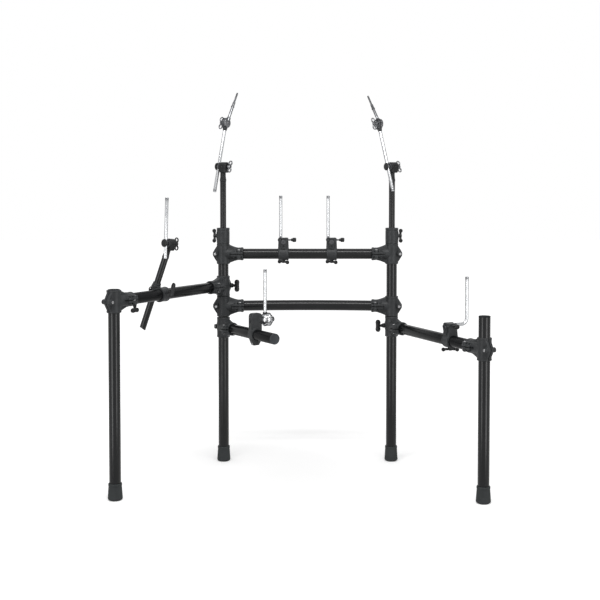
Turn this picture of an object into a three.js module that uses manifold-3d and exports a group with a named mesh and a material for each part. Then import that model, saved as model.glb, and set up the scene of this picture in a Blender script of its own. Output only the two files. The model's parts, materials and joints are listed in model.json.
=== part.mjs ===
// Drum rack frame of round steel tube: two inner posts and two outer legs on rubber feet,
// two crossbars, two swinging side arms, and the arms that carry cymbals, toms, snare and hi-hat.
// Millimetres, +Z up, +X to the right seen from the player's side, +Y away from the player.
import * as THREE from 'three';
import { mergeVertices } from 'three/addons/utils/BufferGeometryUtils.js';
import Module from 'manifold-3d';

// Gap kept between neighbouring pieces, and how far every cut runs past the face it opens
const clearance = 0.3;
const overrun = 1.5;

// Round bars are drawn with these numbers of sides
const tubeSides = 20;
const fittingSides = 16;
const rodSides = 12;
const ballRings = 8;

// Stock that the rack is made of
const tube = { radius: 19.05, wall: 1.8, plug: 4 };
const slimTube = { radius: 11.1, wall: 1.5 };
const rod = { radius: 5.8 };

// T-clamp: collar on the upright tube, socket for the level tube, bolted ear behind, bolt pads beside
const clamp = {
  height: 74,
  collarWall: 4.4,
  socketWall: 4.15,
  backWall: 3.6,
  flareRise: 36,
  flareWaist: 34,
  flareWaistRise: 27,
  flareReach: 52,
  flareWidth: 26,
  earOffset: 29,
  earRadius: 8.5,
  earLength: 42,
  earWebRise: 29,
  earShoulder: 31.5,
  earShoulderRise: 16,
  earWebWidth: 20,
  slot: 3,
  padInset: 16,
  padWidth: 16,
  padHeight: 32,
  padReach: 37,
  padOffset: 29.5,
  boltRadius: 4,
  shortReach: 74,
  longReach: 84,
};
clamp.collarRadius = tube.radius + clamp.collarWall;
clamp.socketRadius = tube.radius + clamp.socketWall;

// Rubber foot under each upright
const foot = { height: 56, topRadius: 21.5, bottomRadius: 24.5, edge: 5, floor: 12 };

// Sleeve on each inner post top, which guides the slim riser
const sleeve = { height: 58, radius: 23.5, capHeight: 11, bossRadius: 8, bossReach: 26 };

// Places of the uprights and bars, built up from the stack of clamps on the posts
const layout = {
  postSpacing: 618,
  armReach: 600,
  snareArmLength: 366,
  snareArmHeight: 496,
  stackGap: 3.5,
  tightGap: 0.5,
  sleeveGap: 43.7,
  lowerBarBow: 26,
  rightLegRise: 106,
};
layout.halfSpan = layout.postSpacing / 2;
layout.lowerBarHeight = layout.snareArmHeight + clamp.height + layout.stackGap;
layout.leftArmHeight = layout.lowerBarHeight + clamp.height + layout.tightGap;
layout.rightArmHeight = layout.lowerBarHeight - clamp.height - layout.tightGap;
layout.upperBarHeight = layout.leftArmHeight + clamp.height + layout.sleeveGap;
sleeve.bottom = layout.upperBarHeight + clamp.height / 2 + clearance;

// Directions of the level arms about +Z, in degrees from +X
const leftArmAngle = -122.1;
const rightArmAngle = -65;
const snareArmAngle = -57.6;

// Slim riser with its knuckle head, and the leaning chrome rod that the knuckle holds
const knuckle = {
  radius: 16.5,
  near: 10,
  far: 20,
  neckRadius: 10,
  neckLength: 55,
  studRadius: 4,
  rodOffset: 19,
  capRadius: 14,
  capWidth: 6.5,
  coreRadius: 9,
  capOuter: 30,
  plateRadius: 16,
  plateWidth: 5,
  studEnd: 31,
};
const riser = { below: 153, above: 282 };
const cymbalRod = { below: 96, above: 169 };
const tilter = {
  discRadius: 18,
  discWidth: 9.2,
  webWidth: 18,
  coneLength: 11,
  coneRadius: 9,
  boltRadius: 3,
  postRadius: 5,
  postLength: 94,
  tipRadius: 3.4,
  tipLength: 40,
};
const leftArm = { angle: -30, rodLean: 16.6, postLean: 31.7 };
const rightArm = { angle: 30, rodLean: 21, postLean: 36.8 };

// L-rod mount: a block on a bar with a bent rod behind it, a side screw and a wing bolt below
const mount = {
  width: 38,
  ringRadius: 24,
  baseHalf: 20,
  topHalf: 15,
  height: 62,
  rodHeight: 51,
  rodShift: 11,
  rodFront: 16,
  rodBehind: 72,
  rodTop: 212,
  bend: 20,
  screwRadius: 3,
  screwReach: 28,
  knobRadius: 8,
  knobLength: 14,
};
const tomOffset = 88.3;
const sideMountInset = 201;

// Snare bracket: a round-cornered plate on the snare arm with a chrome ball clamp and its rod
const snare = {
  distance: 233,
  halfDepth: 11,
  halfWidth: 22,
  below: 37,
  above: 76,
  corner: 9,
  ballHeight: 50,
  ballOffset: 47,
  ballRadius: 23.5,
  neckRadius: 9,
  rodOffset: 40,
  rodRise: 178,
};

// Hi-hat boom: a cross clamp behind the left side arm and a slim tube with a knuckle at its top
const hihat = {
  inset: 245,
  ringLength: 36,
  ringRadius: 24.5,
  boomOffset: 34,
  socketRadius: 15.6,
  socketLength: 42,
  bridgeWidth: 26,
  bossRadius: 9,
  bossReach: 33,
  boomBelow: 149,
  boomAbove: 174,
  rodBelow: 53,
  rodAbove: 155,
};
const crossLean = -20.6;
const boomLean = -2.4;
const boomAngle = 169;
const hihatRodLean = 24;
const bossLean = 20;

// Hand bolts and nuts: a winged head on a hub, with a shank that reaches into its neighbour
const tBolt = { span: 45, depth: 24, thickness: 12, hub: 6.5, standoff: 6, shank: 4 };
const hangingKnob = { span: 34, depth: 20, thickness: 11, hub: 6.5, standoff: 7, shank: 4 };
const sleeveBolt = { span: 51, depth: 12, thickness: 8, hub: 6, standoff: 1, shank: 3.5 };
const armNut = { span: 46, depth: 17, thickness: 7, hub: 7.5, standoff: 2, bore: 4 };
const tilterBolt = { span: 48, depth: 17, thickness: 6.5, hub: 7, standoff: 3, shank: 3 };
const mountBolt = { span: 60, depth: 12, thickness: 8, hub: 6, standoff: 1, shank: 3.5 };
const crossBolt = { span: 60, depth: 20, thickness: 9, hub: 8, standoff: 4, shank: 4 };
const tomWingTurn = 50;
const sideWingTurn = -65;
const crossWingTurn = 53;

// Outline of one wing as shares of its span and depth
const wingShares = { shoulder: 0.45, start: 0.12, side: 0.55, tip: 0.38, waist: 0.6 };

const powderCoat = new THREE.MeshStandardMaterial({ color: 0x1d1e20, roughness: 0.38, metalness: 0.35 });
const castBlack = new THREE.MeshStandardMaterial({ color: 0x2a2c2e, roughness: 0.62, metalness: 0.1 });
const rubber = new THREE.MeshStandardMaterial({ color: 0x141415, roughness: 0.85, metalness: 0 });
const chrome = new THREE.MeshStandardMaterial({ color: 0xd9dcdf, roughness: 0.16, metalness: 1 });
const boltBlack = new THREE.MeshStandardMaterial({ color: 0x17181a, roughness: 0.5, metalness: 0.2 });

const wasm = await Module();
wasm.setup();

// Closed solid of a three.js geometry, with seam points joined and empty triangles left out
function solidOf(geometry) {
  const bare = geometry.clone();
  bare.deleteAttribute('normal');
  bare.deleteAttribute('uv');
  const joined = mergeVertices(bare);
  const corners = Array.from(joined.index.array);
  const kept = [];
  for (let i = 0; i < corners.length; i += 3) {
    const [a, b, c] = corners.slice(i, i + 3);
    if (a !== b && b !== c && c !== a) kept.push(a, b, c);
  }
  const vertProperties = Float32Array.from(joined.attributes.position.array);
  return new wasm.Manifold(new wasm.Mesh({ numProp: 3, vertProperties, triVerts: Uint32Array.from(kept) }));
}

function joinAll(solids) {
  return solids.reduce((whole, next) => whole.add(next));
}

function cutAll(body, cuts) {
  return cuts.reduce((left, cut) => left.subtract(cut), body);
}

// Named mesh of a solid
function piece(name, solid, material) {
  const made = solid.getMesh();
  const geometry = new THREE.BufferGeometry();
  geometry.setAttribute('position', new THREE.BufferAttribute(Float32Array.from(made.vertProperties), 3));
  geometry.setIndex(Array.from(made.triVerts));
  geometry.computeVertexNormals();
  const mesh = new THREE.Mesh(geometry, material);
  mesh.name = name;
  return mesh;
}

function radians(degrees) {
  return THREE.MathUtils.degToRad(degrees);
}

// Turns a geometry that lies along +Z so that it lies along the named axis
function alongAxis(geometry, axis) {
  if (axis === 'x') geometry.rotateY(Math.PI / 2);
  if (axis === 'y') geometry.rotateX(-Math.PI / 2);
  return geometry;
}

// Round bar on an axis through the origin, from start to end along it, tapering where endRadius differs
function bar(axis, radius, start, end, sides, endRadius = radius) {
  const shape = new THREE.CylinderGeometry(endRadius, radius, end - start, sides);
  shape.rotateX(Math.PI / 2);
  shape.translate(0, 0, (start + end) / 2);
  return solidOf(alongAxis(shape, axis));
}

// Straight block between two corners
function block(low, high) {
  const size = high.map((value, i) => value - low[i]);
  const shape = new THREE.BoxGeometry(...size);
  shape.translate(...high.map((value, i) => (value + low[i]) / 2));
  return solidOf(shape);
}

// Flat outline pushed to both sides of its plane; its own Y becomes Z
function uprightPlate(outline, width, segments) {
  const settings = { depth: width, bevelEnabled: false, curveSegments: segments };
  const shape = new THREE.ExtrudeGeometry(outline, settings);
  shape.translate(0, 0, -width / 2);
  shape.rotateX(Math.PI / 2);
  return solidOf(shape);
}

// Path through chosen points, with one step of a swept solid between each two of them
class PointPath extends THREE.Curve {
  constructor(points) {
    super();
    this.points = points;
  }

  getUtoTmapping(u) {
    return u;
  }

  getPoint(t, target = new THREE.Vector3()) {
    const place = t * (this.points.length - 1);
    const from = Math.min(Math.floor(place), this.points.length - 2);
    return target.lerpVectors(this.points[from], this.points[from + 1], place - from);
  }
}

// Round section swept along the points, hollow where a wall is given
function sweptTube(points, radius, wall, sides) {
  const section = new THREE.Shape().absarc(0, 0, radius, 0, 2 * Math.PI, false);
  if (wall) section.holes.push(new THREE.Path().absarc(0, 0, radius - wall, 0, 2 * Math.PI, true));
  const extrudePath = new PointPath(points);
  const settings = { steps: points.length - 1, extrudePath, curveSegments: sides / 2, bevelEnabled: false };
  return solidOf(new THREE.ExtrudeGeometry(section, settings));
}

// Points of a round bend in the plane of two level directions
function bendPoints(centre, from, to, radius, startTurn, endTurn, steps) {
  return Array.from({ length: steps + 1 }, (_, i) => {
    const turn = THREE.MathUtils.lerp(startTurn, endTurn, i / steps);
    const point = centre.clone();
    point.addScaledVector(from, radius * Math.cos(turn));
    return point.addScaledVector(to, radius * Math.sin(turn));
  });
}

function group(parent, position = [0, 0, 0], turns = [0, 0, 0]) {
  const made = new THREE.Group();
  made.position.set(...position);
  made.rotation.set(...turns.map(radians));
  parent.add(made);
  return made;
}

// Straight tube along an axis; a closed end carries its plug
function straightTube(axis, stock, start, end, closedEnd = false) {
  const boreEnd = closedEnd ? end - stock.plug : end + overrun;
  const bore = bar(axis, stock.radius - stock.wall, start - overrun, boreEnd, tubeSides);
  return bar(axis, stock.radius, start, end, tubeSides).subtract(bore);
}

// T-clamp with its collar on Z and its socket along +X
function clampSolid({ reach, padSide, earBolt, padBolt }) {
  const boreRadius = tube.radius + clearance;
  const flare = new THREE.Shape();
  flare.moveTo(0, -clamp.flareRise);
  flare.lineTo(0, clamp.flareRise);
  flare.lineTo(tube.radius, clamp.flareRise);
  const flareEnd = clamp.socketRadius - clearance;
  flare.quadraticCurveTo(clamp.flareWaist, clamp.flareWaistRise, clamp.flareReach, flareEnd);
  flare.lineTo(clamp.flareReach, -flareEnd);
  flare.quadraticCurveTo(clamp.flareWaist, -clamp.flareWaistRise, tube.radius, -clamp.flareRise);

  const earWeb = new THREE.Shape();
  earWeb.moveTo(-clamp.earRadius, -clamp.earWebRise);
  earWeb.lineTo(-clamp.earRadius, clamp.earWebRise);
  earWeb.lineTo(-clamp.collarRadius, clamp.earWebRise);
  earWeb.lineTo(-clamp.earShoulder, clamp.earShoulderRise);
  const earTip = clamp.earOffset + clamp.earRadius - clearance;
  earWeb.lineTo(-earTip, clamp.earRadius / 2);
  earWeb.lineTo(-earTip, -clamp.earRadius / 2);
  earWeb.lineTo(-clamp.earShoulder, -clamp.earShoulderRise);
  earWeb.lineTo(-clamp.collarRadius, -clamp.earWebRise);

  const padPlace = reach - clamp.padInset;
  const padInner = padSide * (tube.radius + clearance);
  const padOuter = padSide * clamp.padReach;
  const body = joinAll([
    bar('z', clamp.collarRadius, -clamp.height / 2, clamp.height / 2, tubeSides),
    bar('x', clamp.socketRadius, 0, reach, tubeSides),
    uprightPlate(flare, clamp.flareWidth, 3),
    uprightPlate(earWeb, clamp.earWebWidth, 1),
    bar('y', clamp.earRadius, -clamp.earLength / 2, clamp.earLength / 2, rodSides)
      .translate([-clamp.earOffset, 0, 0]),
    block(
      [padPlace - clamp.padWidth / 2, Math.min(padInner, padOuter), -clamp.padHeight / 2],
      [padPlace + clamp.padWidth / 2, Math.max(padInner, padOuter), clamp.padHeight / 2],
    ),
  ]);

  const slotHalf = clamp.slot / 2;
  const earEnd = -clamp.earOffset - clamp.earRadius - overrun;
  const slotStart = tube.radius + clamp.backWall + clamp.slot;
  const slotSides = [0, padSide * (clamp.padReach + overrun)];
  const boltHole = clamp.boltRadius + clearance;
  const cuts = [
    bar('z', boreRadius, -clamp.height / 2 - overrun, clamp.height / 2 + overrun, tubeSides),
    bar('x', boreRadius, tube.radius + clamp.backWall, reach + overrun, tubeSides),
    block(
      [earEnd, -slotHalf, -clamp.height / 2 - overrun],
      [-clamp.earRadius, slotHalf, clamp.height / 2 + overrun],
    ),
    block(
      [slotStart, Math.min(...slotSides), -slotHalf],
      [reach + overrun, Math.max(...slotSides), slotHalf],
    ),
  ];
  if (earBolt) {
    const reachOut = clamp.earLength / 2 + overrun;
    cuts.push(bar('y', boltHole, -reachOut, reachOut, rodSides).translate([-clamp.earOffset, 0, 0]));
  }
  if (padBolt) {
    const reachOut = clamp.padHeight / 2 + overrun;
    const hole = bar('z', boltHole, -reachOut, reachOut, rodSides);
    cuts.push(hole.translate([padPlace, padSide * clamp.padOffset, 0]));
  }
  return cutAll(body, cuts);
}

// Rubber foot, standing on its own floor level
function footSolid() {
  const lower = bar('z', foot.bottomRadius - foot.edge, 0, foot.edge, tubeSides, foot.bottomRadius);
  const upper = bar('z', foot.bottomRadius, foot.edge, foot.height, tubeSides, foot.topRadius);
  const recess = bar('z', tube.radius + clearance, foot.floor, foot.height + overrun, tubeSides);
  return lower.add(upper).subtract(recess);
}

// Winged head pointing along +Z from its seat at the origin, with its wings along X
function wingSolid(size, shankLength) {
  const half = size.span / 2;
  const outline = new THREE.Shape();
  const shoulder = [size.span * wingShares.shoulder, size.depth * wingShares.start];
  const side = [half, size.depth * wingShares.side];
  const tip = [size.span * wingShares.tip, size.depth];
  const waist = [size.hub / 2, size.depth * wingShares.waist];
  outline.moveTo(size.hub, 0);
  outline.quadraticCurveTo(...shoulder, ...side);
  outline.quadraticCurveTo(half, size.depth, ...tip);
  outline.quadraticCurveTo(size.hub, size.depth, ...waist);
  outline.lineTo(-waist[0], waist[1]);
  outline.quadraticCurveTo(-size.hub, size.depth, -tip[0], tip[1]);
  outline.quadraticCurveTo(-half, size.depth, -side[0], side[1]);
  outline.quadraticCurveTo(-shoulder[0], shoulder[1], -size.hub, 0);
  const wings = uprightPlate(outline, size.thickness, 2).translate([0, 0, size.standoff]);
  const hubEnd = size.standoff + size.depth * wingShares.waist;
  const head = wings.add(bar('z', size.hub, clearance, hubEnd, rodSides));
  if (size.bore) {
    return head.subtract(bar('z', size.bore + clearance, -overrun, hubEnd + size.depth, rodSides));
  }
  return head.add(bar('z', size.shank, -shankLength, size.standoff, rodSides));
}

// Slim tube that ends in a knuckle head at the origin, with the knuckle's bolt along X
function knuckleTubeSolid(length) {
  const outer = joinAll([
    bar('z', slimTube.radius, -length, -knuckle.neckLength, fittingSides),
    bar('z', slimTube.radius, -knuckle.neckLength, -knuckle.radius, fittingSides, knuckle.neckRadius),
    bar('z', knuckle.neckRadius, -knuckle.neckLength, 0, fittingSides),
    bar('x', knuckle.radius, -knuckle.near, knuckle.far, fittingSides),
  ]);
  const inner = slimTube.radius - slimTube.wall;
  return cutAll(outer, [
    bar('z', inner, -length - overrun, -knuckle.neckLength, fittingSides),
    bar('x', knuckle.studRadius + clearance, -knuckle.near - overrun, knuckle.far + overrun, rodSides),
  ]);
}

// Turning half of a knuckle: cap and toothed plate on a core with the stud, bored for the rod along Z
function cheekSolid() {
  const plateStart = -knuckle.near - clearance - knuckle.plateWidth;
  return joinAll([
    bar('x', knuckle.capRadius, -knuckle.capOuter, knuckle.capWidth - knuckle.capOuter, fittingSides),
    bar('x', knuckle.coreRadius, -knuckle.capOuter, plateStart + knuckle.plateWidth, fittingSides),
    bar('x', knuckle.plateRadius, plateStart, plateStart + knuckle.plateWidth, fittingSides),
    bar('x', knuckle.studRadius, plateStart, knuckle.studEnd, rodSides),
  ]);
}

function rodHole() {
  const reach = knuckle.plateRadius + overrun;
  return bar('z', rod.radius + clearance, -reach, reach, rodSides).translate([-knuckle.rodOffset, 0, 0]);
}

// Leaning rod with the fixed half of the tilter at its top, on the rod's own axis
function cymbalRodSolid() {
  const coneTop = cymbalRod.above - tilter.discRadius - overrun;
  const coneStart = coneTop - tilter.coneLength;
  const body = joinAll([
    bar('z', rod.radius, -cymbalRod.below, coneTop, rodSides),
    bar('z', rod.radius, coneStart, coneTop, rodSides, tilter.coneRadius),
    bar('x', tilter.discRadius, -tilter.discWidth, 0, fittingSides).translate([0, 0, cymbalRod.above]),
    block(
      [-tilter.discWidth, -tilter.webWidth / 2, coneTop - overrun],
      [0, tilter.webWidth / 2, cymbalRod.above],
    ),
  ]);
  const hole = bar('x', tilter.boltRadius + clearance, -tilter.discWidth - overrun, overrun, rodSides);
  return body.subtract(hole.translate([0, 0, cymbalRod.above]));
}

// Turning half of the tilter with the cymbal post, its pivot at the origin
function tilterSolid() {
  const postShift = clearance + tilter.postRadius;
  const tipEnd = tilter.postLength + tilter.tipLength;
  const body = joinAll([
    bar('x', tilter.discRadius, clearance, clearance + tilter.discWidth, fittingSides),
    bar('z', tilter.postRadius, tilter.discRadius / 2, tilter.postLength, rodSides)
      .translate([postShift, 0, 0]),
    bar('z', tilter.tipRadius, tilter.postLength / 2, tipEnd, rodSides).translate([postShift, 0, 0]),
  ]);
  return body.subtract(bar('x', tilter.boltRadius + clearance, 0, tilter.discWidth + overrun, rodSides));
}

// Block of an L-rod mount on a bar along X
function mountBlockSolid() {
  const half = mount.width / 2;
  const side = new THREE.Shape();
  side.moveTo(-mount.baseHalf, 0);
  side.lineTo(mount.baseHalf, 0);
  side.lineTo(mount.topHalf, mount.height);
  side.lineTo(-mount.topHalf, mount.height);
  const head = uprightPlate(side, mount.width, 1).rotate([0, 0, 90]);
  const body = head.add(bar('x', mount.ringRadius, -half, half, tubeSides));
  const rodReach = mount.ringRadius + overrun;
  return cutAll(body, [
    bar('x', tube.radius + clearance, -half - overrun, half + overrun, tubeSides),
    bar('y', rod.radius + clearance, -rodReach, rodReach, rodSides)
      .translate([-mount.rodShift, 0, mount.rodHeight]),
    bar('x', mount.screwRadius + clearance, -mount.rodShift, half + overrun, rodSides)
      .translate([0, 0, mount.rodHeight]),
    bar('z', mountBolt.shank + clearance, -mount.ringRadius - overrun, -tube.radius / 2, rodSides),
  ]);
}

// Bent rod: a level leg through the block and an upright leg behind the bar
function bentRodSolid() {
  const level = new THREE.Vector3(0, 1, 0);
  const up = new THREE.Vector3(0, 0, 1);
  const centre = new THREE.Vector3(0, mount.rodBehind - mount.bend, mount.rodHeight + mount.bend);
  const points = [
    new THREE.Vector3(0, -mount.rodFront, mount.rodHeight),
    ...bendPoints(centre, level, up, mount.bend, -Math.PI / 2, 0, 5),
    new THREE.Vector3(0, mount.rodBehind, mount.rodTop),
  ];
  return sweptTube(points, rod.radius, 0, rodSides).translate([-mount.rodShift, 0, 0]);
}

// Knurled side screw that pins the bent rod in its block
function sideScrewSolid() {
  const face = mount.width / 2;
  const knobEnd = face + mount.screwReach;
  const shank = bar('x', mount.screwRadius, -mount.rodShift + rod.radius + clearance, knobEnd, rodSides);
  return shank.add(bar('x', mount.knobRadius, knobEnd - mount.knobLength, knobEnd, fittingSides));
}

// Round-cornered snare bracket across a bar along X
function snareBracketSolid() {
  const { halfWidth, below, above, corner } = snare;
  const face = new THREE.Shape();
  face.moveTo(-halfWidth + corner, -below);
  face.lineTo(halfWidth - corner, -below);
  face.absarc(halfWidth - corner, corner - below, corner, -Math.PI / 2, 0, false);
  face.absarc(halfWidth - corner, above - corner, corner, 0, Math.PI / 2, false);
  face.absarc(corner - halfWidth, above - corner, corner, Math.PI / 2, Math.PI, false);
  face.absarc(corner - halfWidth, corner - below, corner, Math.PI, 1.5 * Math.PI, false);
  const plate = uprightPlate(face, 2 * snare.halfDepth, 3).rotate([0, 0, 90]);
  const reach = snare.halfDepth + overrun;
  const slotHalf = clamp.slot / 2;
  return cutAll(plate, [
    bar('x', tube.radius + clearance, -reach, reach, tubeSides),
    block([-reach, -slotHalf, -below - overrun], [reach, slotHalf, -tube.radius / 2]),
  ]);
}

// Ball clamp beside the snare bracket with its upright rod
function snareRodSolid() {
  const round = new THREE.SphereGeometry(snare.ballRadius, rodSides, ballRings);
  const ball = solidOf(round).translate([0, snare.ballOffset, 0]);
  const neck = bar('y', snare.neckRadius, snare.halfWidth + clearance, snare.ballOffset, fittingSides);
  const upright = bar('z', rod.radius, 0, snare.rodRise, rodSides).translate([0, snare.rodOffset, 0]);
  return joinAll([ball, neck, upright]);
}

// Cross clamp: a ring round the side arm on X and a leaning socket behind it for the boom
function crossClampSolid() {
  const half = hihat.ringLength / 2;
  const socketHalf = hihat.socketLength / 2;
  const bridgeHalf = hihat.bridgeWidth / 2;
  const lean = (solid) => {
    const leaning = solid.rotate([0, boomLean, 0]).translate([0, -hihat.boomOffset, 0]);
    return leaning.rotate([crossLean, 0, 0]);
  };
  const body = joinAll([
    bar('x', hihat.ringRadius, -half, half, tubeSides),
    lean(bar('z', hihat.socketRadius, -socketHalf, socketHalf, fittingSides)),
    block([-bridgeHalf, -hihat.boomOffset, -bridgeHalf], [bridgeHalf, 0, bridgeHalf])
      .rotate([crossLean, 0, 0]),
    bar('y', hihat.bossRadius, 0, hihat.bossReach, fittingSides).rotate([bossLean, 0, 0]),
  ]);
  return cutAll(body, [
    bar('x', tube.radius + clearance, -half - overrun, half + overrun, tubeSides),
    lean(bar('z', slimTube.radius + clearance, -socketHalf - overrun, socketHalf + overrun, fittingSides)),
    bar('y', crossBolt.shank + clearance, 0, hihat.bossReach + overrun, rodSides)
      .rotate([bossLean, 0, 0]),
  ]);
}

// Tube of the lower crossbar: straight in its clamps and bowed between them, ends at halfSpan each way
function bowedBarPoints(bowTurn, startGap) {
  const { halfSpan } = layout;
  const arcStart = clamp.shortReach + clamp.slot;
  const arcRadius = (halfSpan - arcStart * Math.cos(bowTurn)) / Math.sin(bowTurn);
  const along = new THREE.Vector3(1, 0, 0);
  const away = new THREE.Vector3(0, 1, 0);
  const centre = new THREE.Vector3(0, layout.lowerBarBow - arcRadius, 0);
  const middle = bendPoints(centre, away, along, arcRadius, -bowTurn, bowTurn, 6);
  const end = new THREE.Vector3(halfSpan - startGap * Math.cos(bowTurn), startGap * Math.sin(bowTurn), 0);
  return [new THREE.Vector3(-end.x, end.y, 0), ...middle, end];
}

// Inner post with its foot, sleeve and riser hardware; side is -1 on the left and 1 on the right
function innerPost(rack, side, label) {
  const post = group(rack, [side * layout.halfSpan, 0, 0]);
  const tubeStart = foot.floor + clearance;
  const tubeEnd = sleeve.bottom + sleeve.height - sleeve.capHeight - clearance;
  post.add(piece(`post_${label}`, straightTube('z', tube, tubeStart, tubeEnd), powderCoat));
  post.add(piece(`foot_inner_${label}`, footSolid(), rubber));

  const sleeveGroup = group(post, [0, 0, sleeve.bottom], [0, 0, side > 0 ? 0 : 180]);
  const boltHeight = sleeve.height / 2;
  const boss = bar('x', sleeve.bossRadius, tube.radius + clearance, sleeve.bossReach, fittingSides);
  const boltHole = bar('x', sleeveBolt.shank + clearance, 0, sleeve.bossReach + overrun, rodSides);
  const shell = bar('z', sleeve.radius, 0, sleeve.height, tubeSides);
  const sleeveBody = shell.add(boss.translate([0, 0, boltHeight]));
  const sleeveSolid = cutAll(sleeveBody, [
    bar('z', tube.radius + clearance, -overrun, sleeve.height - sleeve.capHeight, tubeSides),
    bar('z', slimTube.radius + clearance, 0, sleeve.height + overrun, tubeSides),
    boltHole.translate([0, 0, boltHeight]),
  ]);
  sleeveGroup.add(piece(`sleeve_${label}`, sleeveSolid, castBlack));
  const seat = group(sleeveGroup, [sleeve.bossReach, 0, boltHeight], [0, 90, 0]);
  const shank = sleeve.bossReach - tube.radius - clearance;
  seat.add(piece(`sleeve_bolt_${label}`, wingSolid(sleeveBolt, shank), boltBlack));
  return post;
}

// Cymbal arm on an inner post: riser, knuckle, leaning rod, tilter and their wing nuts
function cymbalArm(post, arm, label) {
  const head = group(post, [0, 0, sleeve.bottom + riser.above], [0, 0, arm.angle]);
  head.add(piece(`riser_${label}`, knuckleTubeSolid(riser.below + riser.above), powderCoat));
  const lean = group(head, [0, 0, 0], [-arm.rodLean, 0, 0]);
  lean.add(piece(`rod_holder_${label}`, cheekSolid().subtract(rodHole()), castBlack));
  const nut = group(lean, [knuckle.far, 0, 0], [0, 90, 0]);
  nut.add(piece(`arm_nut_${label}`, wingSolid(armNut, 0), chrome));
  const rodGroup = group(lean, [-knuckle.rodOffset, 0, 0]);
  rodGroup.add(piece(`cymbal_rod_${label}`, cymbalRodSolid(), chrome));
  const pivot = group(rodGroup, [0, 0, cymbalRod.above], [arm.rodLean - arm.postLean, 0, 0]);
  pivot.add(piece(`cymbal_tilter_${label}`, tilterSolid(), chrome));
  const bolt = group(rodGroup, [-tilter.discWidth, 0, cymbalRod.above], [0, -90, 0]);
  bolt.add(piece(`tilter_bolt_${label}`, wingSolid(tilterBolt, 2 * tilter.discWidth), chrome));
}

// L-rod mount placed on a bar that lies along the parent's X
function rodMount(parent, place, label, wingTurn) {
  const seat = group(parent, [place, 0, 0]);
  seat.add(piece(`mount_block_${label}`, mountBlockSolid(), castBlack));
  seat.add(piece(`mount_rod_${label}`, bentRodSolid(), chrome));
  const screw = group(seat, [0, 0, mount.rodHeight]);
  screw.add(piece(`mount_screw_${label}`, sideScrewSolid(), boltBlack));
  const under = group(seat, [0, 0, -mount.ringRadius], [180, 0, 0]);
  const shank = mount.ringRadius - tube.radius - clearance;
  const bolt = wingSolid(mountBolt, shank).rotate([0, 0, wingTurn]);
  under.add(piece(`mount_bolt_${label}`, bolt, boltBlack));
}

// Side arm with its two clamps and the outer leg; innerPad tells the side that the bolt pads face
function sideArm(rack, { side, label, height, turn, innerPad, legRise, padBolt }) {
  const arm = group(rack, [side * layout.halfSpan, 0, height], [0, 0, turn]);
  const inner = { reach: clamp.longReach, padSide: innerPad, earBolt: true, padBolt: false };
  const outer = { reach: clamp.longReach, padSide: -innerPad, earBolt: false, padBolt };
  arm.add(piece(`arm_clamp_inner_${label}`, clampSolid(inner), castBlack));
  const tubeStart = tube.radius + clamp.backWall + clearance;
  const levelTube = straightTube('x', tube, tubeStart, layout.armReach - tubeStart);
  arm.add(piece(`side_arm_${label}`, levelTube, powderCoat));
  const boltSeat = group(
    arm,
    [-clamp.earOffset, innerPad * clamp.earLength / 2, 0],
    [-innerPad * 90, 0, 0],
  );
  const bolt = wingSolid(tBolt, clamp.earLength).rotate([0, 0, 90]);
  boltSeat.add(piece(`t_bolt_${label}`, bolt, boltBlack));

  const end = group(arm, [layout.armReach, 0, 0], [0, 0, 180]);
  end.add(piece(`arm_clamp_outer_${label}`, clampSolid(outer), castBlack));
  const legStart = foot.floor + clearance - height;
  end.add(piece(`leg_${label}`, straightTube('z', tube, legStart, legRise, true), powderCoat));
  const base = group(end, [0, 0, -height]);
  base.add(piece(`foot_outer_${label}`, footSolid(), rubber));
  if (padBolt) {
    const padPlace = clamp.longReach - clamp.padInset;
    const seat = group(end, [padPlace, -innerPad * clamp.padOffset, -clamp.padHeight / 2], [180, 0, 0]);
    seat.add(piece(`hanging_knob_${label}`, wingSolid(hangingKnob, clamp.padHeight), boltBlack));
  }
  return arm;
}

// Crossbars with their four clamps
function crossbars(rack) {
  const { halfSpan, upperBarHeight, lowerBarHeight, lowerBarBow } = layout;
  const tubeStart = tube.radius + clamp.backWall + clearance;
  const upper = group(rack, [0, 0, upperBarHeight]);
  const levelTube = straightTube('x', tube, tubeStart - halfSpan, halfSpan - tubeStart);
  upper.add(piece('crossbar_upper', levelTube, powderCoat));

  const arcStart = clamp.shortReach + clamp.slot;
  const bowTurn = 2 * Math.atan(lowerBarBow / (halfSpan + arcStart));
  const lower = group(rack, [0, 0, lowerBarHeight]);
  const bowed = sweptTube(bowedBarPoints(bowTurn, tubeStart), tube.radius, tube.wall, tubeSides);
  lower.add(piece('crossbar_lower', bowed, powderCoat));

  const bowDegrees = THREE.MathUtils.radToDeg(bowTurn);
  for (const [side, label] of [[-1, 'left'], [1, 'right']]) {
    const settings = { reach: clamp.shortReach, padSide: side, earBolt: false, padBolt: false };
    const facing = side < 0 ? 0 : 180;
    const high = group(rack, [side * halfSpan, 0, upperBarHeight], [0, 0, facing]);
    high.add(piece(`bar_clamp_upper_${label}`, clampSolid(settings), castBlack));
    const low = group(rack, [side * halfSpan, 0, lowerBarHeight], [0, 0, facing - side * bowDegrees]);
    low.add(piece(`bar_clamp_lower_${label}`, clampSolid(settings), castBlack));
  }
  return upper;
}

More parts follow.
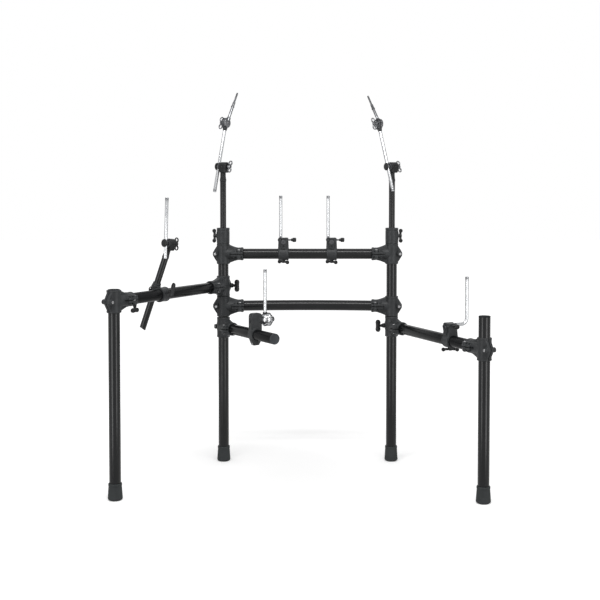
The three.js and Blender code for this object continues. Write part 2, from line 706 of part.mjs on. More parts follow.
// Snare arm on the left post with its bracket
function snareArm(rack) {
  const arm = group(rack, [-layout.halfSpan, 0, layout.snareArmHeight], [0, 0, snareArmAngle]);
  const settings = { reach: clamp.shortReach, padSide: -1, earBolt: false, padBolt: false };
  arm.add(piece('snare_arm_clamp', clampSolid(settings), castBlack));
  const tubeStart = tube.radius + clamp.backWall + clearance;
  arm.add(piece('snare_arm', straightTube('x', tube, tubeStart, layout.snareArmLength, true), powderCoat));
  const bracket = group(arm, [snare.distance, 0, 0]);
  bracket.add(piece('snare_bracket', snareBracketSolid(), castBlack));
  const ball = group(bracket, [0, 0, snare.ballHeight]);
  ball.add(piece('snare_rod', snareRodSolid(), chrome));
}

// Hi-hat boom on the left side arm
function hihatBoom(arm) {
  const seat = group(arm, [layout.armReach - hihat.inset, 0, 0]);
  seat.add(piece('hihat_clamp', crossClampSolid(), castBlack));
  const boss = group(seat, [0, 0, 0], [bossLean, 0, 0]);
  const boltSeat = group(boss, [0, hihat.bossReach, 0], [-90, 0, 0]);
  const shank = hihat.bossReach - tube.radius - clearance;
  const bolt = wingSolid(crossBolt, shank).rotate([0, 0, crossWingTurn]);
  boltSeat.add(piece('hihat_clamp_bolt', bolt, boltBlack));
  const cross = group(seat, [0, 0, 0], [crossLean, 0, 0]);
  const boom = group(cross, [0, -hihat.boomOffset, 0], [0, boomLean, 0]);
  const head = group(boom, [0, 0, hihat.boomAbove], [0, 0, boomAngle]);
  head.add(piece('hihat_boom', knuckleTubeSolid(hihat.boomAbove + hihat.boomBelow), powderCoat));
  const lean = group(head, [0, 0, 0], [-hihatRodLean, 0, 0]);
  const upright = bar('z', rod.radius, -hihat.rodBelow, hihat.rodAbove, rodSides);
  lean.add(piece('hihat_rod', cheekSolid().add(upright.translate([-knuckle.rodOffset, 0, 0])), chrome));
  const nut = group(lean, [knuckle.far, 0, 0], [0, 90, 0]);
  nut.add(piece('hihat_nut', wingSolid(armNut, 0), boltBlack));
}

const rack = new THREE.Group();
const posts = [
  { post: innerPost(rack, -1, 'left'), arm: leftArm, label: 'left' },
  { post: innerPost(rack, 1, 'right'), arm: rightArm, label: 'right' },
];
posts.forEach(({ post, arm, label }) => cymbalArm(post, arm, label));
const upperBar = crossbars(rack);
rodMount(upperBar, -tomOffset, 'tom_left', tomWingTurn);
rodMount(upperBar, tomOffset, 'tom_right', tomWingTurn);
const leftSide = sideArm(rack, {
  side: -1,
  label: 'left',
  height: layout.leftArmHeight,
  turn: leftArmAngle,
  innerPad: 1,
  legRise: clamp.height / 2 + tube.wall,
  padBolt: true,
});
const rightSide = sideArm(rack, {
  side: 1,
  label: 'right',
  height: layout.rightArmHeight,
  turn: rightArmAngle,
  innerPad: -1,
  legRise: layout.rightLegRise,
  padBolt: false,
});
rodMount(rightSide, layout.armReach - sideMountInset, 'side', sideWingTurn);
snareArm(rack);
hihatBoom(leftSide);

// The origin is the middle of the footprint, on the floor
rack.updateMatrixWorld(true);
const extent = new THREE.Box3().setFromObject(rack, true);
rack.position.set(-(extent.min.x + extent.max.x) / 2, -(extent.min.y + extent.max.y) / 2, -extent.min.z);
rack.updateMatrixWorld(true);

export default rack;
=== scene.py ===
"""Looks of a drum rack frame of round steel tube: posts, crossbars, side arms, clamps and rods.

Sizes are in millimetres until a piece is fitted, +Z up, +X to the right seen from the player's side.
"""

from __future__ import annotations

import json
import logging
import math
from dataclasses import dataclass, field
from enum import Enum
from typing import Mapping, NamedTuple, Sequence

import bmesh
import bpy
from bpy.types import GeometryNodeTree, Material, Mesh, Node, NodeSocket, NodeTree, Object
from mathutils import Matrix, Vector


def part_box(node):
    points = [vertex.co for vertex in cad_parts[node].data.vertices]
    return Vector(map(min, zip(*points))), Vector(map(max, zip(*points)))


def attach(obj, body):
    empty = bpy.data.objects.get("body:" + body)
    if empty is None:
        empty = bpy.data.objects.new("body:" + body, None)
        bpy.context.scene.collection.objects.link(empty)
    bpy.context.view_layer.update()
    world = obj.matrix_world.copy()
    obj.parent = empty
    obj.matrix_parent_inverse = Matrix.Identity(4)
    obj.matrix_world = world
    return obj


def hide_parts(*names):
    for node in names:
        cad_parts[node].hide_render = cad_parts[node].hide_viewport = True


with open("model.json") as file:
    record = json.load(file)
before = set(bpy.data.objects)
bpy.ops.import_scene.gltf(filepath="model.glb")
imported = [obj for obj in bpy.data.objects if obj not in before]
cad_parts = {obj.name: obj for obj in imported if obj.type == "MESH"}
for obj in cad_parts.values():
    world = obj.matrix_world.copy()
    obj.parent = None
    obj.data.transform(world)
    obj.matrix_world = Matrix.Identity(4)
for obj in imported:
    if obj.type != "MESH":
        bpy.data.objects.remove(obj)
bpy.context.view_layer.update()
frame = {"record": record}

log = logging.getLogger("drum_rack")

MM = 0.001
TUBE_SIDES = 64
FITTING_SIDES = 48
SMALL_SIDES = 32
SHARP_DEGREES = 38.0
MERGE = 0.0005
OVERRUN = 1.5
GAP = 0.3

Outline = Sequence[tuple[float, float]]
Point = tuple[float, float, float]
ORIGIN: Point = (0, 0, 0)
BODY_OF = {
    node: body for body, nodes in frame["record"]["behaviour"]["bodies"].items() for node in nodes
}


class Side(Enum):
    """Left or right half of the rack, with the sign of its X."""

    LEFT = -1
    RIGHT = 1

    @property
    def label(self) -> str:
        """Word used in the names of pieces."""
        return self.name.lower()


class Kind(Enum):
    """What a piece is: the end of its name and its material slot in the record."""

    TUBE = ("tube", "powder_coat")
    MOULDING = ("moulding", "clamp_black")
    KNUCKLE = ("knuckle", "clamp_black")
    RUBBER = ("rubber", "rubber")
    BRIGHT = ("chrome", "chrome")
    KNURLED = ("knurled", "bolt_black")
    HANDLE = ("handle", "bolt_black")
    WING = ("wing", "bolt_black")
    BRIGHT_WING = ("wing", "chrome")


class WingStyle(Enum):
    """How the head of a hand bolt is shaped."""

    T_HANDLE = "t_handle"
    LOBED = "lobed"
    LOOPED = "looped"


class Fastener(Enum):
    """What stands on a seat of a clamp."""

    SCREW = "screw"
    NUT = "nut"


# Frames and outlines


def at(x: float = 0, y: float = 0, z: float = 0) -> Matrix:
    """Move along the three axes."""
    return Matrix.Translation((x, y, z))


def spin(axis: str, degrees: float) -> Matrix:
    """Turn about an axis."""
    return Matrix.Rotation(math.radians(degrees), 4, axis)


def placed(base: Matrix, offset: Point = ORIGIN, axis: str = "Z", degrees: float = 0) -> Matrix:
    """Frame moved along its axes and then turned about one of them."""
    return base @ at(*offset) @ spin(axis, degrees)


def along(axis: str) -> Matrix:
    """Turn that lays a solid made along Z along the named axis."""
    return {"X": spin("Y", 90), "Y": spin("X", -90), "Z": Matrix()}[axis]


def round_steps(count: int) -> list[float]:
    """Angles that share a full turn evenly."""
    return [2 * math.pi * k / count for k in range(count)]


def softened(points: Outline, radius: float, steps: int = 3, closed: bool = False) -> list:
    """Outline with its corners rounded.

    Args:
        points: Corners in order.
        radius: Distance from a corner at which its rounding starts.
        steps: Steps in each rounding.
        closed: Whether the last point joins the first.

    Returns:
        The longer list of points.
    """
    made = []
    for i, point in enumerate(points):
        here = Vector(point)
        if not closed and i in (0, len(points) - 1):
            made.append(tuple(here))
            continue
        back = Vector(points[i - 1]) - here
        ahead = Vector(points[(i + 1) % len(points)]) - here
        reach = min(radius, back.length * 0.48, ahead.length * 0.48)
        start, end = here + back.normalized() * reach, here + ahead.normalized() * reach
        made += [tuple(spot) for spot in curve_between(start, here, end, steps)]
    return made


def curve_between(start: Vector, pull: Vector, end: Vector, steps: int) -> list[Vector]:
    """Points of a quadratic curve from start to end, pulled towards the middle point."""
    shares = [k / steps for k in range(steps + 1)]
    return [start * (1 - t) ** 2 + pull * 2 * t * (1 - t) + end * t * t for t in shares]


# Solids


def finished(bm: bmesh.types.BMesh) -> Mesh:
    """Mesh of a bmesh, smooth except at its sharp edges.

    Args:
        bm: Solid to finish; it is freed.

    Returns:
        The mesh.
    """
    limit = math.radians(SHARP_DEGREES)
    for face in bm.faces:
        face.smooth = True
    for edge in bm.edges:
        if len(edge.link_faces) == 2:
            edge.smooth = edge.calc_face_angle(0) < limit
    mesh = bpy.data.meshes.new("solid")
    bm.to_mesh(mesh)
    bm.free()
    return mesh


def lathe(profile: Outline, sides: int = FITTING_SIDES, ring: bool = False, axis: str = "Z",
          place: Point = ORIGIN) -> Mesh:
    """Solid turned round an axis.

    Args:
        profile: Points of radius and height; a radius of zero makes a pole.
        sides: Number of sides round the axis.
        ring: Whether the last point joins the first, as on a tube.
        axis: Axis the solid lies along.
        place: Where its own origin goes.

    Returns:
        The closed mesh.
    """
    bm = bmesh.new()
    loops = []
    for radius, height in profile:
        angles = round_steps(sides if radius else 1)
        loops.append([bm.verts.new((radius * math.cos(a), radius * math.sin(a), height)) for a in angles])
    for low, high in list(zip(loops, loops[1:])) + ([(loops[-1], loops[0])] if ring else []):
        for k in range(sides):
            n = (k + 1) % sides
            corners = [low[k % len(low)], low[n % len(low)], high[n % len(high)], high[k % len(high)]]
            corners = list(dict.fromkeys(corners))
            if len(corners) > 2:
                bm.faces.new(corners)
    bmesh.ops.recalc_face_normals(bm, faces=bm.faces)
    mesh = finished(bm)
    mesh.transform(along(axis))
    mesh.transform(at(*place))
    return mesh


def bar(radius: float, start: float, end: float, edge: float = 0.8, axis: str = "Z",
        sides: int = FITTING_SIDES, place: Point = ORIGIN) -> Mesh:
    """Round bar from start to end on its axis, its rims rounded by edge."""
    corners = [(0, start), (radius, start), (radius, end), (0, end)]
    return lathe(softened(corners, edge), sides, axis=axis, place=place)


def pin(radius: float, start: float, end: float, edge: float = 0, axis: str = "Z",
        place: Point = ORIGIN) -> Mesh:
    """Small round bar, or the tool that bores a small hole."""
    return bar(radius, start, end, edge, axis, SMALL_SIDES, place)


def bore(radius: float, start: float, end: float, axis: str = "Z") -> Mesh:
    """Tool that bores the hole of a tube."""
    return bar(radius, start, end, 0, axis, TUBE_SIDES)


def hexagon(radius: float, start: float, end: float, edge: float, axis: str = "Z") -> Mesh:
    """Six-sided nut from start to end on its axis."""
    return lathe(softened([(0, start), (radius, start), (radius, end), (0, end)], edge, 1), 6, axis=axis)


def pipe(radius: float, wall: float, start: float, end: float, axis: str = "Z",
         sides: int = TUBE_SIDES, edge: float = 0.4, place: Point = ORIGIN) -> Mesh:
    """Straight hollow tube with rounded rims.

    Args:
        radius: Outer radius.
        wall: Thickness of the wall.
        start: Where it starts on its axis.
        end: Where it ends.
        axis: Axis it lies along.
        sides: Number of sides.
        edge: Size of the rounding of each rim.
        place: Where its own origin goes.

    Returns:
        The closed mesh.
    """
    inner = radius - wall
    corners = [(inner, start), (radius, start), (radius, end), (inner, end)]
    return lathe(softened(corners, edge, 2, closed=True), sides, True, axis, place)


def plate(outline: Outline, low: float, high: float, edge: float = 0, steps: int = 2) -> Mesh:
    """Flat outline in X and Z pushed along Y, with rounded rims.

    Args:
        outline: Closed outline of X and Z points.
        low: Y of the first face.
        high: Y of the second face.
        edge: Size of the rounding of both rims.
        steps: Steps in that rounding.

    Returns:
        The closed mesh.
    """
    bm = bmesh.new()
    near = [bm.verts.new((x, low, z)) for x, z in outline]
    far = [bm.verts.new((x, high, z)) for x, z in outline]
    caps = [bm.faces.new(near), bm.faces.new(list(reversed(far)))]
    for i in range(len(near)):
        n = (i + 1) % len(near)
        bm.faces.new([near[i], far[i], far[n], near[n]])
    bmesh.ops.recalc_face_normals(bm, faces=bm.faces)
    if edge:
        rims = list({rim for cap in caps for rim in cap.edges})
        bmesh.ops.bevel(bm, geom=rims, offset=edge, segments=steps, profile=0.5, affect="EDGES")
    return finished(bm)


def brick(low: Point, high: Point, edge: float = 0, top: tuple[float, float] = (1, 1)) -> Mesh:
    """Block between two corners with rounded edges.

    Args:
        low: Lowest corner.
        high: Highest corner.
        edge: Size of the rounding.
        top: Shares to which X and Y narrow at the top.

    Returns:
        The closed mesh.
    """
    bm = bmesh.new()
    size = [b - a for a, b in zip(low, high)]
    centre = Vector([(a + b) / 2 for a, b in zip(low, high)])
    bmesh.ops.create_cube(bm, size=1)
    for vert in bm.verts:
        share = (*top, 1) if vert.co.z > 0 else (1, 1, 1)
        vert.co = Vector([c * s * k for c, s, k in zip(vert.co, size, share)]) + centre
    if edge:
        bmesh.ops.bevel(bm, geom=bm.edges[:], offset=edge, segments=3, profile=0.5, affect="EDGES")
    return finished(bm)


def swept(points: Sequence[Vector], radii: Sequence[float] | float, sides: int = SMALL_SIDES,
          wall: float = 0, closed: bool = False) -> Mesh:
    """Round section carried along a path.

    Args:
        points: Path.
        radii: Radius, or one for each point.
        sides: Number of sides.
        wall: Wall thickness of a tube, or zero for a solid.
        closed: Whether the path is a loop.

    Returns:
        The closed mesh.
    """
    count = len(points)
    radii = [radii] * count if isinstance(radii, (int, float)) else list(radii)
    tangents = []
    for i in range(count):
        back = points[i - 1] if closed or i else points[i]
        ahead = points[(i + 1) % count] if closed or i < count - 1 else points[i]
        tangents.append((ahead - back).normalized())
    side = tangents[0].orthogonal().normalized()
    insets = (0, wall) if wall else (0,)
    layers: list[list] = [[] for _ in insets]
    bm = bmesh.new()
    for point, tangent, radius in zip(points, tangents, radii):
        side = (side - tangent * side.dot(tangent)).normalized()
        other = tangent.cross(side)
        for layer, inset in zip(layers, insets):
            layer.append([bm.verts.new(point + (side * math.cos(a) + other * math.sin(a)) * (radius - inset))
                          for a in round_steps(sides)])
    bands = [pair for layer in layers for pair in zip(layer, layer[1:])]
    if closed:
        bands += [(layer[-1], layer[0]) for layer in layers]
    elif wall:
        bands += [(layers[0][end], layers[1][end]) for end in (0, -1)]
    for low, high in bands:
        for k in range(sides):
            n = (k + 1) % sides
            bm.faces.new([low[k], low[n], high[n], high[k]])
    if not closed and not wall:
        for end in (0, -1):
            bm.faces.new(layers[0][end])
    bmesh.ops.recalc_face_normals(bm, faces=bm.faces)
    return finished(bm)


def rod_along(points: Sequence[Vector], radius: float, tip: float = 1.6) -> Mesh:
    """Solid rod along a path with rounded ends.

    Args:
        points: Path.
        radius: Radius of the rod.
        tip: Size of the rounding of each end.

    Returns:
        The closed mesh.
    """
    first = (points[1] - points[0]).normalized()
    last = (points[-1] - points[-2]).normalized()
    steps = [math.pi / 2 * k / 4 for k in range(5)]
    rounding = [(1 - math.cos(a), radius - tip * (1 - math.sin(a))) for a in steps]
    path = [(points[0] + first * tip * share, width) for share, width in rounding]
    path += [(point, radius) for point in points[1:-1]]
    path += [(points[-1] - last * tip * share, width) for share, width in reversed(rounding)]
    return swept([p for p, _ in path], [r for _, r in path])


def upright_rod(low: float, knee: float, top: float) -> Mesh:
    """Straight chrome rod on Z through three heights."""
    return rod_along([Vector((0, 0, z)) for z in (low, knee, top)], STOCK.rod)


# Joining, cutting and casting


def hung(name: str, data: bpy.types.ID) -> Object:
    """New object in the scene.

    Args:
        name: Its name.
        data: What it shows.

    Returns:
        The object.
    """
    made = bpy.data.objects.new(name, data)
    bpy.context.scene.collection.objects.link(made)
    return made


def cleared(*spent: Object) -> None:
    """Removes objects and the meshes that no other object uses.

    Args:
        spent: What is no longer needed.
    """
    for thing in spent:
        data = thing.data
        bpy.data.objects.remove(thing)
        if data.users == 0:
            bpy.data.meshes.remove(data)


def taken_off(holder: Object, *helpers: Object) -> Mesh:
    """Evaluated mesh of a working object, which is then removed with its helpers.

    Args:
        holder: Object with live modifiers.
        helpers: Objects that the modifiers used.

    Returns:
        The plain mesh.
    """
    bpy.context.view_layer.update()
    graph = bpy.context.evaluated_depsgraph_get()
    mesh = bpy.data.meshes.new_from_object(holder.evaluated_get(graph))
    cleared(holder, *helpers)
    return mesh


def resharpened(mesh: Mesh) -> Mesh:
    """The same mesh with doubles merged and its sharp edges marked again.

    Args:
        mesh: Mesh to finish; it is removed.

    Returns:
        The finished mesh.
    """
    bm = bmesh.new()
    bm.from_mesh(mesh)
    bpy.data.meshes.remove(mesh)
    bmesh.ops.remove_doubles(bm, verts=bm.verts, dist=MERGE)
    bmesh.ops.dissolve_degenerate(bm, edges=bm.edges, dist=MERGE)
    return finished(bm)


def cut(body: Mesh, tools: Sequence[Mesh]) -> Mesh:
    """Body with other solids taken away.

    Args:
        body: Solid to work on; it is removed.
        tools: Solids to take away; they are removed.

    Returns:
        The resulting mesh.
    """
    holder = hung("bench", body)
    helpers = [hung("tool", tool) for tool in tools]
    for helper in helpers:
        step = holder.modifiers.new("step", "BOOLEAN")
        step.operation = "DIFFERENCE"
        step.object = helper
        step.solver = "MANIFOLD"
    return resharpened(taken_off(holder, *helpers))


def joined(parts: Sequence[Mesh]) -> Mesh:
    """One mesh that holds all the parts, which are removed.

    Args:
        parts: Meshes to gather.

    Returns:
        The gathered mesh.
    """
    bm = bmesh.new()
    for part in parts:
        bm.from_mesh(part)
        bpy.data.meshes.remove(part)
    mesh = bpy.data.meshes.new("joined")
    bm.to_mesh(mesh)
    bm.free()
    return mesh


def moved(mesh: Mesh, place: Matrix) -> Mesh:
    """The same mesh moved into a frame, its faces outward again where the frame mirrors it.

    Args:
        mesh: Mesh to move.
        place: Frame that it goes into.

    Returns:
        The mesh itself.
    """
    mesh.transform(place)
    if place.determinant() < 0:
        mesh.flip_normals()
    return mesh


@dataclass(frozen=True)
class Moulding:
    """How overlapping solids become one moulded skin with soft corners."""

    grain: float = 1.0
    passes: int = 5
    kept: float = 0.4

    def skin(self, parts: Sequence[Mesh]) -> Mesh:
        """Skin round the parts.

        Args:
            parts: Closed solids that overlap; they are removed.

        Returns:
            One closed mesh with softened corners.
        """
        holder = hung("bench", joined(parts))
        grid = holder.modifiers.new("grid", "REMESH")
        grid.mode = "VOXEL"
        grid.voxel_size = self.grain
        soft = holder.modifiers.new("soft", "SMOOTH")
        soft.factor = 0.5
        soft.iterations = self.passes
        thin = holder.modifiers.new("thin", "DECIMATE")
        thin.ratio = self.kept
        return resharpened(taken_off(holder))


# Node trees


class NodeBench:
    """Adds nodes to a tree and links them."""

    def __init__(self, tree: NodeTree) -> None:
        """Keeps the tree."""
        self.tree = tree

    def feed(self, socket: NodeSocket, value: object) -> None:
        """Links a socket to another, or sets it to a plain value.

        Args:
            socket: Input to feed.
            value: Socket or plain value.
        """
        if isinstance(value, NodeSocket):
            self.tree.links.new(value, socket)
        else:
            socket.default_value = value

    def add(self, kind: str, settings: Mapping[str, object] | None = None, **values: object) -> Node:
        """Adds a node.

        Args:
            kind: Node type.
            settings: Properties of the node.
            values: Input name with spaces as underscores, and what feeds it.

        Returns:
            The node.
        """
        node = self.tree.nodes.new(kind)
        for label, value in (settings or {}).items():
            setattr(node, label, value)
        for label, value in values.items():
            self.feed(node.inputs[label.replace("_", " ")], value)
        return node

    def math(self, operation: str, *values: NodeSocket | float) -> NodeSocket:
        """Adds a math node.

        Args:
            operation: What it does.
            values: What feeds its inputs, in order.

        Returns:
            The value socket.
        """
        node = self.add("ShaderNodeMath", {"operation": operation})
        for socket, value in zip(node.inputs, values):
            self.feed(socket, value)
        return node.outputs[0]


class TreeMaker(NodeBench):
    """Builds one geometry tree with named inputs; a word that feeds a node names such an input."""

    def __init__(self, name: str, inputs: Mapping[str, tuple[str, object]]) -> None:
        """Starts the tree.

        Args:
            name: Name of the tree.
            inputs: Socket type and default of each input by name.
        """
        super().__init__(bpy.data.node_groups.new(name, "GeometryNodeTree"))
        face = self.tree.interface
        face.new_socket("Geometry", in_out="INPUT", socket_type="NodeSocketGeometry")
        for label, (kind, default) in {**inputs, "Material": ("Material", None)}.items():
            socket = face.new_socket(label, in_out="INPUT", socket_type=f"NodeSocket{kind}")
            if default is not None:
                socket.default_value = default
        face.new_socket("Geometry", in_out="OUTPUT", socket_type="NodeSocketGeometry")
        self.source = self.tree.nodes.new("NodeGroupInput")
        self.sink = self.tree.nodes.new("NodeGroupOutput")

    def feed(self, socket: NodeSocket, value: object) -> None:
        """Feeds a socket, from the tree's own input where the value is its name."""
        super().feed(socket, self.source.outputs[value] if isinstance(value, str) else value)

    def close(self, geometry: NodeSocket) -> GeometryNodeTree:
        """Ends the tree with realized instances and the material input.

        Args:
            geometry: Socket with the geometry made so far.

        Returns:
            The finished tree.
        """
        real = self.add("GeometryNodeRealizeInstances", Geometry=geometry)
        dressed = self.add("GeometryNodeSetMaterial", Geometry=real.outputs[0], Material="Material")
        self.tree.links.new(dressed.outputs[0], self.sink.inputs[0])
        return self.tree


def grown(tree: GeometryNodeTree, values: Mapping[str, object], base: Mesh | None = None) -> Mesh:
    """Plain mesh that a geometry tree makes.

    Args:
        tree: Tree to run.
        values: Value of each named input.
        base: Mesh that the tree starts from.

    Returns:
        The plain mesh.
    """
    holder = hung("bench", base or bpy.data.meshes.new("seed"))
    step = holder.modifiers.new("grow", "NODES")
    step.node_group = tree
    for item in tree.interface.items_tree:
        if item.item_type == "SOCKET" and item.in_out == "INPUT" and item.name in values:
            step[item.identifier] = values[item.name]
    return taken_off(holder)


def ridge_tree() -> GeometryNodeTree:
    """Tree that sets small round-backed ridges evenly round Z, each lying along Z.

    Returns:
        The tree.
    """
    maker = TreeMaker("ridges_round_axis", {
        "Count": ("Int", 24),
        "Radius": ("Float", 8.0),
        "Ridge Radius": ("Float", 0.6),
        "Ridge Length": ("Float", 10.0),
        "Ridge Sides": ("Int", 6),
        "Height": ("Float", 0.0),
    })
    circle = maker.add("GeometryNodeMeshCircle", Vertices="Count", Radius="Radius")
    ridge = maker.add("GeometryNodeMeshCylinder", Vertices="Ridge Sides", Radius="Ridge Radius",
                      Depth="Ridge Length")
    spot = maker.add("GeometryNodeInputPosition")
    turn = maker.add("FunctionNodeAlignRotationToVector", {"axis": "X"}, Vector=spot.outputs[0])
    copies = maker.add("GeometryNodeInstanceOnPoints", Points=circle.outputs[0],
                       Instance=ridge.outputs[0], Rotation=turn.outputs[0])
    lift = maker.add("ShaderNodeCombineXYZ", Z="Height")
    lifted = maker.add("GeometryNodeTransform", Geometry=copies.outputs[0], Translation=lift.outputs[0])
    return maker.close(lifted.outputs[0])


def thread_tree() -> GeometryNodeTree:
    """Tree that winds one screw thread round Z from height zero.

    Returns:
        The tree.
    """
    maker = TreeMaker("screw_thread", {
        "Turns": ("Float", 12.0),
        "Radius": ("Float", 3.4),
        "Height": ("Float", 15.0),
        "Thickness": ("Float", 0.45),
    })
    wound = maker.add("GeometryNodeCurveSpiral", Resolution=20, Rotations="Turns",
                      Start_Radius="Radius", End_Radius="Radius", Height="Height")
    section = maker.add("GeometryNodeCurvePrimitiveCircle", Resolution=4, Radius="Thickness")
    solid = maker.add("GeometryNodeCurveToMesh", Curve=wound.outputs[0],
                      Profile_Curve=section.outputs[0], Fill_Caps=True)
    return maker.close(solid.outputs[0])


def fastener_tree() -> GeometryNodeTree:
    """Tree that sets a copy of one object on every point, its Z along the point's facing attribute.

    Returns:
        The tree.
    """
    maker = TreeMaker("fasteners_on_points", {"Fastener": ("Object", None)})
    template = maker.add("GeometryNodeObjectInfo", Object="Fastener")
    facing = maker.add("GeometryNodeInputNamedAttribute", {"data_type": "FLOAT_VECTOR"})
    facing.inputs["Name"].default_value = "facing"
    turn = maker.add("FunctionNodeAlignRotationToVector", {"axis": "Z"}, Vector=facing.outputs[0])
    copies = maker.add("GeometryNodeInstanceOnPoints", Points="Geometry",
                       Instance=template.outputs["Geometry"], Rotation=turn.outputs[0])
    return maker.close(copies.outputs[0])


@dataclass
class Trees:
    """The geometry trees, made once."""

    ridges: GeometryNodeTree = field(default_factory=ridge_tree)
    thread: GeometryNodeTree = field(default_factory=thread_tree)
    fasteners: GeometryNodeTree = field(default_factory=fastener_tree)


# Finishes


class ShaderMaker(NodeBench):
    """Node material built round one Principled shader, on Object coordinates."""

    def __init__(self, name: str) -> None:
        """Starts the material with the given name.

        Args:
            name: Name of the material.
        """
        self.material = bpy.data.materials.new(name)
        self.material.use_nodes = True
        super().__init__(self.material.node_tree)
        self.shader = self.tree.nodes["Principled BSDF"]
        self.place = self.add("ShaderNodeTexCoord").outputs["Object"]

    def noise(self, size: float, detail: float = 3, rough: float = 0.5,
              stretch: Point = (1, 1, 1)) -> NodeSocket:
        """Noise of a real size.

        Args:
            size: Size of its spots in metres.
            detail: Number of finer layers.
            rough: Strength of the finer layers.
            stretch: Shares by which each axis is scaled.

        Returns:
            The value socket, about 0.5 in the mean.
        """
        mapping = self.add("ShaderNodeMapping", Vector=self.place, Scale=stretch)
        spots = self.add("ShaderNodeTexNoise", Vector=mapping.outputs[0], Scale=1 / size, Detail=detail,
                         Roughness=rough)
        return spots.outputs["Fac"]

    def cells(self, size: float) -> NodeSocket:
        """Distance to the nearest of scattered points of a real size in metres."""
        return self.add("ShaderNodeTexVoronoi", Vector=self.place, Scale=1 / size).outputs["Distance"]

    def spread(self, value: NodeSocket, low: float, high: float, start: float = 0.3,
               end: float = 0.7) -> NodeSocket:
        """Value mapped from start and end to low and high."""
        ramp = self.add("ShaderNodeMapRange", Value=value, From_Min=start, From_Max=end, To_Min=low,
                        To_Max=high)
        return ramp.outputs["Result"]

    def blend(self, share: NodeSocket, first: NodeSocket | Point, second: Point) -> NodeSocket:
        """Colour between two colours by a share.

        Args:
            share: Weight of the second.
            first: One colour.
            second: Other colour.

        Returns:
            The socket.
        """
        base = first if isinstance(first, NodeSocket) else (*first, 1)
        mix = self.add("ShaderNodeMix", {"data_type": "RGBA"}, Factor=share, A=base, B=(*second, 1))
        return mix.outputs["Result"]

    def added(self, first: NodeSocket, second: NodeSocket, share: float) -> NodeSocket:
        """First value plus a share of the second."""
        return self.math("MULTIPLY_ADD", second, share, first)

    def edge_wear(self, start: float, end: float) -> NodeSocket:
        """Share that rises on outer edges, from the surface's own curvature."""
        return self.spread(self.add("ShaderNodeNewGeometry").outputs["Pointiness"], 0, 1, start, end)

    def relief(self, height: NodeSocket, depth: float) -> None:
        """Bump of a real depth in metres."""
        bump = self.add("ShaderNodeBump", Height=height, Strength=1, Distance=depth)
        self.dress(Normal=bump.outputs[0])

    def dress(self, **values: object) -> None:
        """Feeds the shader's own sockets, spaces in their names as underscores."""
        for label, value in values.items():
            self.feed(self.shader.inputs[label.replace("_", " ")], value)


@dataclass(frozen=True)
class PowderCoat:
    """Semi-gloss black powder coat with fine orange peel."""

    name: str = "powder_coat_black"
    dark: Point = (0.0040, 0.0043, 0.0048)
    light: Point = (0.0070, 0.0074, 0.0081)
    rough: tuple[float, float] = (0.225, 0.245)
    peel: float = 0.0011
    depth: float = 0.000005
    gloss: float = 0.27

    def build(self) -> Material:
        """Makes the material.

        Returns:
            The material.
        """
        maker = ShaderMaker(self.name)
        cloud = maker.spread(maker.noise(0.05, 4), 0, 1)
        haze = maker.added(maker.noise(0.012, 5, 0.6), maker.noise(0.0016, 2), 0.35)
        maker.dress(Base_Color=maker.blend(cloud, self.dark, self.light),
                    Roughness=maker.spread(haze, *self.rough, 0.4, 0.95),
                    Specular_IOR_Level=self.gloss)
        maker.relief(maker.noise(self.peel, 2), self.depth)
        return maker.material


@dataclass(frozen=True)
class CastNylon:
    """Black glass-filled nylon with a spark-eroded grain and lightly rubbed edges."""

    name: str = "cast_nylon_black"
    dark: Point = (0.0195, 0.0209, 0.0221)
    light: Point = (0.0380, 0.0403, 0.0426)
    rubbed: Point = (0.058, 0.062, 0.066)
    grain: float = 0.0009
    depth: float = 0.00014
    rough: tuple[float, float] = (0.36, 0.52)
    gloss: float = 0.2

    def build(self) -> Material:
        """Makes the material.

        Returns:
            The material.
        """
        maker = ShaderMaker(self.name)
        pits = maker.noise(self.grain, 3, 0.6)
        cloud = maker.spread(maker.added(maker.noise(0.02, 3), pits, 0.6), 0, 1, 0.5, 1.1)
        body = maker.blend(cloud, self.dark, self.light)
        maker.dress(Base_Color=maker.blend(maker.edge_wear(0.54, 0.62), body, self.rubbed),
                    Roughness=maker.spread(pits, *self.rough), Specular_IOR_Level=self.gloss)
        maker.relief(maker.added(pits, maker.cells(self.grain * 1.6), 0.5), self.depth)
        return maker.material


@dataclass(frozen=True)
class Rubber:
    """Matte moulded rubber with dust in its pores."""

    dark: Point = (0.0185, 0.0212, 0.0222)
    dust: Point = (0.042, 0.046, 0.047)
    depth: float = 0.00008

    def build(self) -> Material:
        """Makes the material.

        Returns:
            The material.
        """
        maker = ShaderMaker("foot_rubber")
        pores = maker.noise(0.0007, 4, 0.65)
        film = maker.added(maker.noise(0.03, 4), pores, 0.5)
        maker.dress(Base_Color=maker.blend(maker.spread(film, 0, 1, 0.5, 1.05), self.dark, self.dust),
                    Roughness=maker.spread(film, 0.5, 0.78, 0.4, 1.0), Specular_IOR_Level=0.2)
        maker.relief(pores, self.depth)
        return maker.material


@dataclass(frozen=True)
class Metal:
    """Plated or bare steel with fine wiping marks."""

    name: str
    light: Point
    dark: Point
    rough: tuple[float, float]
    # edge is the tint of the reflection at grazing angles. It is darker than the base of the chrome and the
    # screw steel, so their rims render grey: painted reflection of darker surroundings.
    edge: Point = (0.3, 0.31, 0.33)
    stretch: Point = (1, 1, 0.15)
    depth: float = 0.000004

    def build(self) -> Material:
        """Makes the material.

        Returns:
            The material.
        """
        maker = ShaderMaker(self.name)
        smear = maker.noise(0.018, 4, 0.6)
        marks = maker.noise(0.0009, 2, 0.5, self.stretch)
        maker.dress(Base_Color=maker.blend(maker.spread(smear, 0, 1, 0.35, 0.75), self.light, self.dark),
                    Roughness=maker.spread(maker.added(smear, marks, 0.5), *self.rough, 0.5, 1.05),
                    Metallic=1.0, Specular_Tint=(*self.edge, 1))
        maker.relief(marks, self.depth)
        return maker.material


